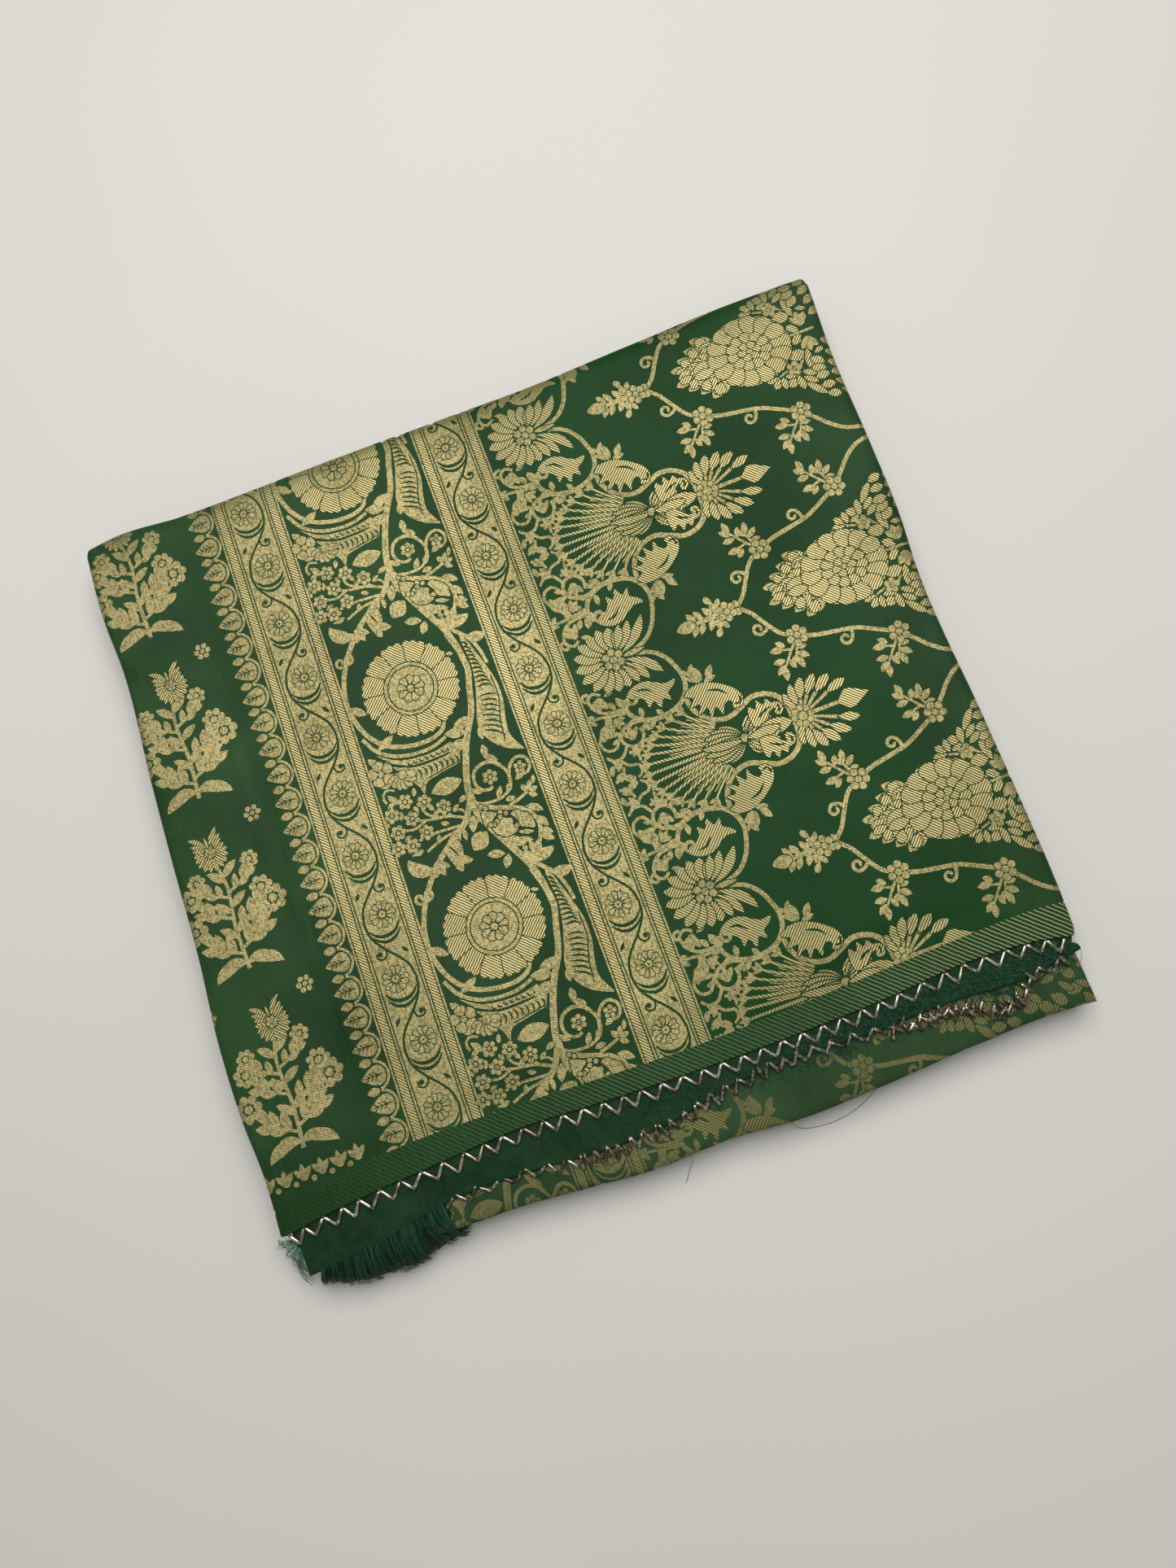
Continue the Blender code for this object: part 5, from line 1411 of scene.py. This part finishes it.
def panel_place(x, y):
    """Where a point of the top stretch's flat cut lies once its ends and its far side are rolled under."""
    base_x, base_y = x, y
    for _ in range(3):
        base_x = np.clip(x, run(LEFT_EDGE, base_y) + END_ROLL, run(RIGHT_EDGE, base_y) - END_ROLL)
        base_y = np.clip(y, run(SELVEDGE, base_x), run(TOP_EDGE, base_x) - TOP_ROLL)
    z = panel_height(base_x, base_y)
    off_x, off_y = x - base_x, y - base_y
    off = np.hypot(off_x, off_y)
    way_x, way_y = off_x / np.maximum(off, 1e-9), off_y / np.maximum(off, 1e-9)
    reach_x, reach_y = way_x * END_ROLL, way_y * np.where(off_y > 0, TOP_ROLL, 0.5)
    reach = np.hypot(reach_x, reach_y)
    rolled = (z - RIM_FOOT) / (1 - math.cos(ROLL_TURN))
    half = np.where(off_y < 0, 0.6 * way_y**2 + rolled * way_x**2, rolled)
    turn = np.zeros_like(off)
    for _ in range(24):
        middle = turn + off / 48.0 / np.maximum(np.hypot(reach * np.cos(turn), half * np.sin(turn)), 0.2)
        turn = turn + off / 24.0 / np.maximum(np.hypot(reach * np.cos(middle), half * np.sin(middle)), 0.2)
    turn = np.minimum(turn, ROLL_TURN)
    sunk = z - half * (1 - np.cos(turn))
    return np.stack([base_x + reach_x * np.sin(turn), base_y + reach_y * np.sin(turn), sunk], axis=1)


def corner_points(turn, end_reach, top_reach):
    """Points round the right and the left corner at the top fold, where the ends meet its roll."""
    across, up = end_reach * np.cos(turn), top_reach * np.sin(turn)
    return 165.6 + across + 1j * (150.7 + up), -148.8 - across + 1j * (149.5 + up)


END_REST, TOP_REST, LIP = 6.6, 11.4, 1.5
FACE_SQUARE = (-166.0, -134.0, 342.0)
sides = []
x = np.linspace(-159.6, 157.2, 80)
sides.append(x + 1j * (run(SELVEDGE, x) - LIP))
y = np.linspace(-129.6, 148.0, 60)
sides.append(run(RIGHT_EDGE, y) - END_ROLL + END_REST + 1j * y)
right_corner, left_corner = corner_points(np.radians(np.linspace(12, 78, 6)), END_REST, TOP_REST)
sides.append(right_corner)
x = np.linspace(165.0, -148.5, 80)
sides.append(x + 1j * (run(TOP_EDGE, x) - TOP_ROLL + TOP_REST))
sides.append(left_corner[::-1])
y = np.linspace(148.0, -128.6, 60)
sides.append(run(LEFT_EDGE, y) + END_ROLL - END_REST + 1j * y)
panel_border = np.concatenate(sides)

grid_x, grid_y = np.meshgrid(np.arange(-157.0, 166.0, 4.0), np.arange(-127.0, 152.0, 4.0))
spots = [(grid_x + 1j * grid_y).ravel()]
for out in (0.6, 1.3, 2.0, 2.7, 3.4, 4.1, 4.8, 5.5, 6.1):
    y = np.arange(-128.0, 148.0, 2.5)
    spots.append(run(RIGHT_EDGE, y) - END_ROLL + out + 1j * y)
    spots.append(run(LEFT_EDGE, y) + END_ROLL - out + 1j * y)
for out in (0.9, 1.9, 2.9, 3.8, 4.6, 5.4, 6.1, 6.9, 7.8, 8.8, 9.8, 10.8):
    x = np.arange(-148.0, 165.0, 3.0)
    spots.append(x + 1j * (run(TOP_EDGE, x) - TOP_ROLL + out))
for k in range(1, 9):
    spots += corner_points(np.radians(np.linspace(10, 80, 7)), END_REST * k / 9, TOP_REST * k / 9)
x = np.arange(-159.0, 157.0, 2.0)
for out in (0.0, 0.35, 0.75, 1.15):
    spots.append(x + 1j * (run(SELVEDGE, x) - out))
for behind in (7.0, 9.0, 11.0):
    x = np.arange(-157.0, 156.0, 1.5)
    spots.append(x + 1j * (run(SELVEDGE, x) + behind))
panel_grid = np.concatenate(spots)
panel_grid = panel_grid[inside(panel_border, panel_grid)]

x = np.linspace(-170.0, 172.0, 90)
band = np.concatenate([x + 1j * (run(SELVEDGE, x) - 6.0), x[::-1] + 1j * run(BAND_TOP, x[::-1])])
panel_figures = whole_cloth() + [(SELVEDGE_LINES, band)]
face_cloth = brocade("Brocade face", FACE_SQUARE)
panel = figured_cloth("top_stretch", panel_figures, panel_border, panel_grid, panel_place, FACE_SQUARE,
                      face_cloth)
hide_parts("top_panel")


# The bugle beads. The real ones are cut glass tubes, silver lined, sewn along both selvedges as a zigzag with a
# seed knot at each turn. They lie on the stretch below, and the second row sits a little loose and tangled.
UPPER_TURNS = (
    # x of each turn of the upper row's zigzag
    -156, -150, -142, -134.5, -127.5, -119.5, -111, -103, -94.5, -86, -78, -70.5, -62.5, -54.5, -46.5, -39, -31,
    -23.5, -16, -8, 0, 8, 16, 23.5, 31.5, 39.5, 47.5, 55.5, 63.5, 71, 79, 87, 96, 105, 113, 121, 129.5, 138,
    146, 152.5,
)
TUBE, TUBE_SIDES = 0.72, 8
PROFILE = (
    # (radius, share of the length), from inside the bore at one end round to the other; 0.16 stands for 0.16 mm
    (0.34, 0.25), (0.30, 0.0), (0.53, 0.0), (TUBE, 0.16), (TUBE, 0.5), (TUBE, 0.84), (0.53, 1.0), (0.30, 1.0),
    (0.34, 0.75),
)
CLEAR_GLASS = (0.30, 0.24, 0.155, 1.0), (0.80, 0.76, 0.64, 1.0)
# the lower row's glass is darker than the upper row's
DULL_GLASS = (0.13, 0.10, 0.065, 1.0), (0.62, 0.57, 0.47, 1.0)
KNOT_SILK = (0.12, 0.08, 0.035, 1.0), (0.42, 0.33, 0.2, 1.0)


def bugles(starts, ends):
    """Glass tubes between pairs of points: their points and faces. The bore shows at both ends."""
    starts, ends = np.array(starts), np.array(ends)
    way = ends - starts
    side = np.cross(way, (0.0, 0.0, 1.0))
    side /= np.linalg.norm(side, axis=1)[:, None]
    rise = np.cross(side, way)
    rise /= np.linalg.norm(rise, axis=1)[:, None]
    long = np.linalg.norm(way, axis=1)
    rings = []
    for radius, share in PROFILE:
        inset = np.clip(share, 0.16 / long, 1 - 0.16 / long) if share in (0.16, 0.84) else share
        centre = starts + way * np.reshape(inset, (-1, 1))
        turns = 2 * math.pi * (np.arange(TUBE_SIDES) + 0.5) / TUBE_SIDES
        rings.append(np.stack(ring_round(centre, side, rise, radius, turns), axis=1))
    return np.stack(rings, axis=1).reshape(-1, 3), tube_faces(len(starts), len(PROFILE), TUBE_SIDES)


def bead_row(name, starts, ends, finish):
    """A row of beads as one piece. Each bead has its own square in the flat layout."""
    points, faces = bugles(starts, ends)
    number = np.repeat(np.arange(len(starts)), len(PROFILE) * TUBE_SIDES)
    spot = np.tile(np.arange(len(PROFILE) * TUBE_SIDES), len(starts))
    across = int(math.ceil(math.sqrt(len(starts))))
    ring, side = spot // TUBE_SIDES, spot % TUBE_SIDES
    flat = np.stack([(number % across + 0.1 + 0.8 * ring / len(PROFILE)) / across,
                     (number // across + 0.1 + 0.8 * side / TUBE_SIDES) / across], axis=1)
    return sewn_mesh(name, points, faces, flat, [finish])


glass, nodes, shader = cloth_finish("Silver lined glass", 0.16, 0.0, 0.9)
into(shader, "Base Color", speckle(nodes, 2.2).between(0.35, 0.65).mixed(*CLEAR_GLASS))
into(shader, "Roughness", speckle(nodes, 1.0) * 0.2 + 0.08)
dull_glass, nodes, shader = cloth_finish("Duller glass of the lower row", 0.2, 0.0, 0.85)
into(shader, "Base Color", speckle(nodes, 2.2).between(0.4, 0.7).mixed(*DULL_GLASS))
into(shader, "Roughness", speckle(nodes, 1.0) * 0.2 + 0.12)
knot_thread, nodes, shader = cloth_finish("Seed knots and bead thread", 0.45, 0.1, 0.4)
into(shader, "Base Color", speckle(nodes, 1.5).between(0.4, 0.6).mixed(*KNOT_SILK))

rng = np.random.default_rng(8)
starts, ends, knots = [], [], []
tops = np.array(UPPER_TURNS) + rng.normal(0, 0.25, len(UPPER_TURNS))
for a, b in zip(tops, tops[1:]):
    low_x = 0.5 * (a + b) + rng.normal(0, 0.3)
    droop = 5.7 + rng.normal(0, 0.35)
    turns = []
    for x, out in ((a, 0.5), (low_x, droop), (b, 0.5)):
        y = float(run(SELVEDGE, x)) - out
        rest = float(second_height(x, y)) + TUBE
        lip = float(panel_height(np.array(x), run(SELVEDGE, x) + 0.1)) + 0.15
        turns.append(np.array([x, y, rest if out > 2 else max(rest, lip - 0.9)]))
    for p, q in ((turns[0], turns[1]), (turns[1], turns[2])):
        way = (q - p) / np.linalg.norm(q - p)
        starts.append(p + way * 0.45)
        ends.append(q - way * 0.45)
    knots += turns[:2]
upper_row = bead_row("bead_row_upper", starts, ends, glass)

# In the second row the beads peep out at the left, zigzag in the middle and hang in a tangle at the right.
LOWER_ROW = (
    # (x, how far ahead of the second selvedge the row's middle lies, half height of the zigzag)
    (-98, 0.9, 1.7), (-62, 0.9, 1.9), (-50, 1.6, 2.3), (-20, 1.4, 2.4), (10, 1.2, 2.3), (40, 0.8, 2.4),
    (76, 1, 1.9), (84, 2.2, 2.2), (100, 3.6, 2.6), (112, 6.4, 2.8), (122, 8.6, 3.2), (129, 5.6, 3.2),
    (134, 1.8, 2.2), (150, 1.6, 2),
)
ROW_START, ROW_END = -97.0, 149.0
PEEP_END, TANGLE_START, TANGLE_END = -46.0, 79.0, 136.0
starts, ends = [], []
x = ROW_START
while x < ROW_END:
    tangled = TANGLE_START < x < TANGLE_END
    length = rng.uniform(5.0, 5.6)
    steep = math.asin(min(2 * float(run(LOWER_ROW, x, 2)) / length, 0.95))
    head = (-1) ** len(starts) * (rng.uniform(0.5, 1.35) if tangled else steep) + rng.normal(0, 0.12)
    y = float(run(SECOND_EDGE, x) - run(LOWER_ROW, x))
    y += rng.uniform(-1.7, 1.7) if tangled else rng.normal(0, 0.25)
    half = 0.5 * length * np.array([math.cos(head), math.sin(head)])
    spots = []
    for sign in (-1, 1):
        end_x, end_y = x + sign * half[0], y + sign * half[1]
        ground = front_height(np.array(end_x), end_y)
        over = second_height(np.array(end_x), end_y) if end_y > run(SECOND_EDGE, end_x) else ground
        rest = float(ground) + 0.66 if x < PEEP_END else float(max(ground, over)) + 0.78
        spots.append(np.array([end_x, end_y, rest + (rng.uniform(0.0, 1.1) if tangled else 0.0)]))
    starts.append(spots[0])
    ends.append(spots[1])
    knots.append(spots[len(starts) % 2])
    x += rng.uniform(1.3, 2.1) if tangled else math.cos(steep) * length + 0.5
lower_row = bead_row("bead_row_lower", starts, ends, dull_glass)

KNOT, LEVELS, ROUND = 0.5, 5, 7
ball = []
for level in range(LEVELS):
    pitch = math.pi * (level + 0.5) / LEVELS
    ball += [(KNOT * math.sin(pitch) * math.cos(a), KNOT * math.sin(pitch) * math.sin(a),
              KNOT * math.cos(pitch)) for a in 2 * math.pi * np.arange(ROUND) / ROUND]
ball, knots = np.array(ball), np.array(knots)
points = (knots[:, None, :] + ball[None]).reshape(-1, 3)
one_ball = between(np.arange(len(ball)).reshape(LEVELS, ROUND), closed=True)[:, ::-1]
faces = np.concatenate([one_ball + len(ball) * n for n in range(len(knots))])
flat = np.stack([np.repeat(np.arange(len(knots)) + 0.5, len(ball)) / len(knots),
                 np.tile(np.linspace(0.1, 0.9, len(ball)), len(knots))], axis=1)
seed_knots = sewn_mesh("seed_knots", points, faces, flat, [knot_thread])


# The cut floats of weft and the loose hairs. The real floats are trimmed at the back of the brocade and mat
# together over the second stretch; a few long single threads have worked out under the fold.
FLOAT_GREEN = (0.008, 0.050, 0.024, 1.0), (0.035, 0.15, 0.080, 1.0)
float_silk, nodes, shader = cloth_finish("Matted ends of green silk", 0.55, 0.05)
into(shader, "Base Color", speckle(nodes, 1.6).between(0.32, 0.68).mixed(*FLOAT_GREEN))

rng = np.random.default_rng(5)
count = 1900
share = rng.beta(1.3, 1.0, count)
x = -60.0 + 212.0 * share
keep = rng.uniform(size=count) < np.clip((x + 60.0) / 130.0, 0.04, 1.0)
x = x[keep]
count = len(x)
y = run(SELVEDGE, x) - rng.uniform(1.0, 12.0, count)
y = y - rng.uniform(0.0, 8.0, count) * np.exp(-(((x - 119.0) / 13.0) ** 2))
heading = rng.uniform(0, 2 * math.pi, count)
bend = rng.normal(0, 1.2, count)
long = rng.uniform(2.5, 7.5, count)
steps = np.linspace(0, 1, 6)
ways = heading[:, None] + bend[:, None] * steps
path_x = x[:, None] + np.cumsum(np.cos(ways), axis=1) * long[:, None] / 6
path_y = y[:, None] + np.cumsum(np.sin(ways), axis=1) * long[:, None] / 6
path_y = np.minimum(path_y, run(SELVEDGE, path_x) - 1.0)
lift = rng.uniform(0.15, 1.3, count)[:, None] * np.sin(math.pi * (0.15 + 0.7 * steps))
floor_z = np.where(path_y > run(SECOND_EDGE, path_x), second_height(path_x, path_y),
                   front_height(path_x, path_y))
paths = np.stack([path_x, path_y, floor_z + 0.12 + lift], axis=2)
floats = thread_piece("cut_floats", paths, rng.uniform(0.07, 0.13, count), float_silk, 3)

HAIRS = (
    # (x, y, z) along each hair
    ((-9, -153, 14), (-7.5, -157, 8), (-9.5, -161, 1.5), (-13, -165.5, 0.4)),
    ((31, -154, 14), (32, -158, 7), (36, -162.5, 1), (48, -164.5, 0.4), (60, -162.5, 0.4),
     (68, -158.5, 2), (66, -155, 13.5)),
    ((153, -131, 17.5), (155.5, -134, 17.8), (156.5, -138, 16), (155, -142, 14)),
    ((-152, -130, 17.6), (-157, -131.5, 16), (-161, -130.5, 9)),
)
hairs = []
for hair in HAIRS:
    hair = np.array(hair)
    along = np.concatenate([[0.0], np.cumsum(np.linalg.norm(np.diff(hair, axis=0), axis=1))])
    at = np.linspace(0, along[-1], 28)
    hairs.append(np.stack([run(zip(along, hair[:, axis]), at) for axis in range(3)], axis=1))
loose = thread_piece("loose_hairs", np.array(hairs), np.full(len(hairs), 0.09), thread_silk, 4, 0.9)


# The table, the light and the view. The packet lies on a plain pale surface in soft light from above, and the
# camera stands over it, tilted about ten degrees, where the pattern's own repeats put it.
PALE_GREY = (0.675, 0.665, 0.638, 1.0), (0.695, 0.685, 0.658, 1.0)
floor_mesh = bpy.data.meshes.new("table")
floor_mesh.from_pydata([(-4, -4, 0), (4, -4, 0), (4, 4, 0), (-4, 4, 0)], [], [(0, 1, 2, 3)])
table = bpy.data.objects.new("table", floor_mesh)
bpy.context.scene.collection.objects.link(table)
table_finish, nodes, shader = cloth_finish("Pale table", 0.6, 0.0)
into(shader, "Base Color", speckle(nodes, 400.0).between(0.3, 0.7).mixed(*PALE_GREY))
floor_mesh.materials.append(table_finish)

light = bpy.data.lights.new("Ceiling light", "AREA")
light.shape = "RECTANGLE"
light.size, light.size_y = 0.9, 0.9
light.energy = 11.2
light.color = (1.0, 0.985, 0.94)
lamp = bpy.data.objects.new("Ceiling light", light)
lamp.location = (0.12, 0.35, 1.0)
lamp.rotation_euler = (-lamp.location).to_track_quat("-Z", "Y").to_euler()
bpy.context.scene.collection.objects.link(lamp)
sky = bpy.data.worlds.new("Room")
bpy.context.scene.world = sky
sky.use_nodes = True
sky.node_tree.nodes["Background"].inputs["Color"].default_value = (0.975, 0.99, 0.96, 1.0)
sky.node_tree.nodes["Background"].inputs["Strength"].default_value = 0.25
bpy.context.scene.view_settings.view_transform = "Standard"

lens = bpy.data.cameras.new("View")
# the focal length and the picture's long side, both in pixels
SENSOR, FOCAL, LONG_SIDE = 36.0, 1448.0, 1927.0
lens.sensor_width = SENSOR
lens.lens = SENSOR * FOCAL / LONG_SIDE
lens.clip_start = 0.01
camera = bpy.data.objects.new("View", lens)
right = Vector((0.93298, -0.35718, -0.04431)).normalized()
ahead = Vector((0.02090, 0.17665, -0.98405))
ahead = (ahead - right * ahead.dot(right)).normalized()
down = ahead.cross(right)
stand = on_frame([(-2.7, -92.15, 469.8)])[0]
camera.matrix_world = Matrix([[right[n], -down[n], -ahead[n], stand[n]] for n in range(3)] + [[0, 0, 0, 1]])
bpy.context.scene.collection.objects.link(camera)
bpy.context.scene.camera = camera
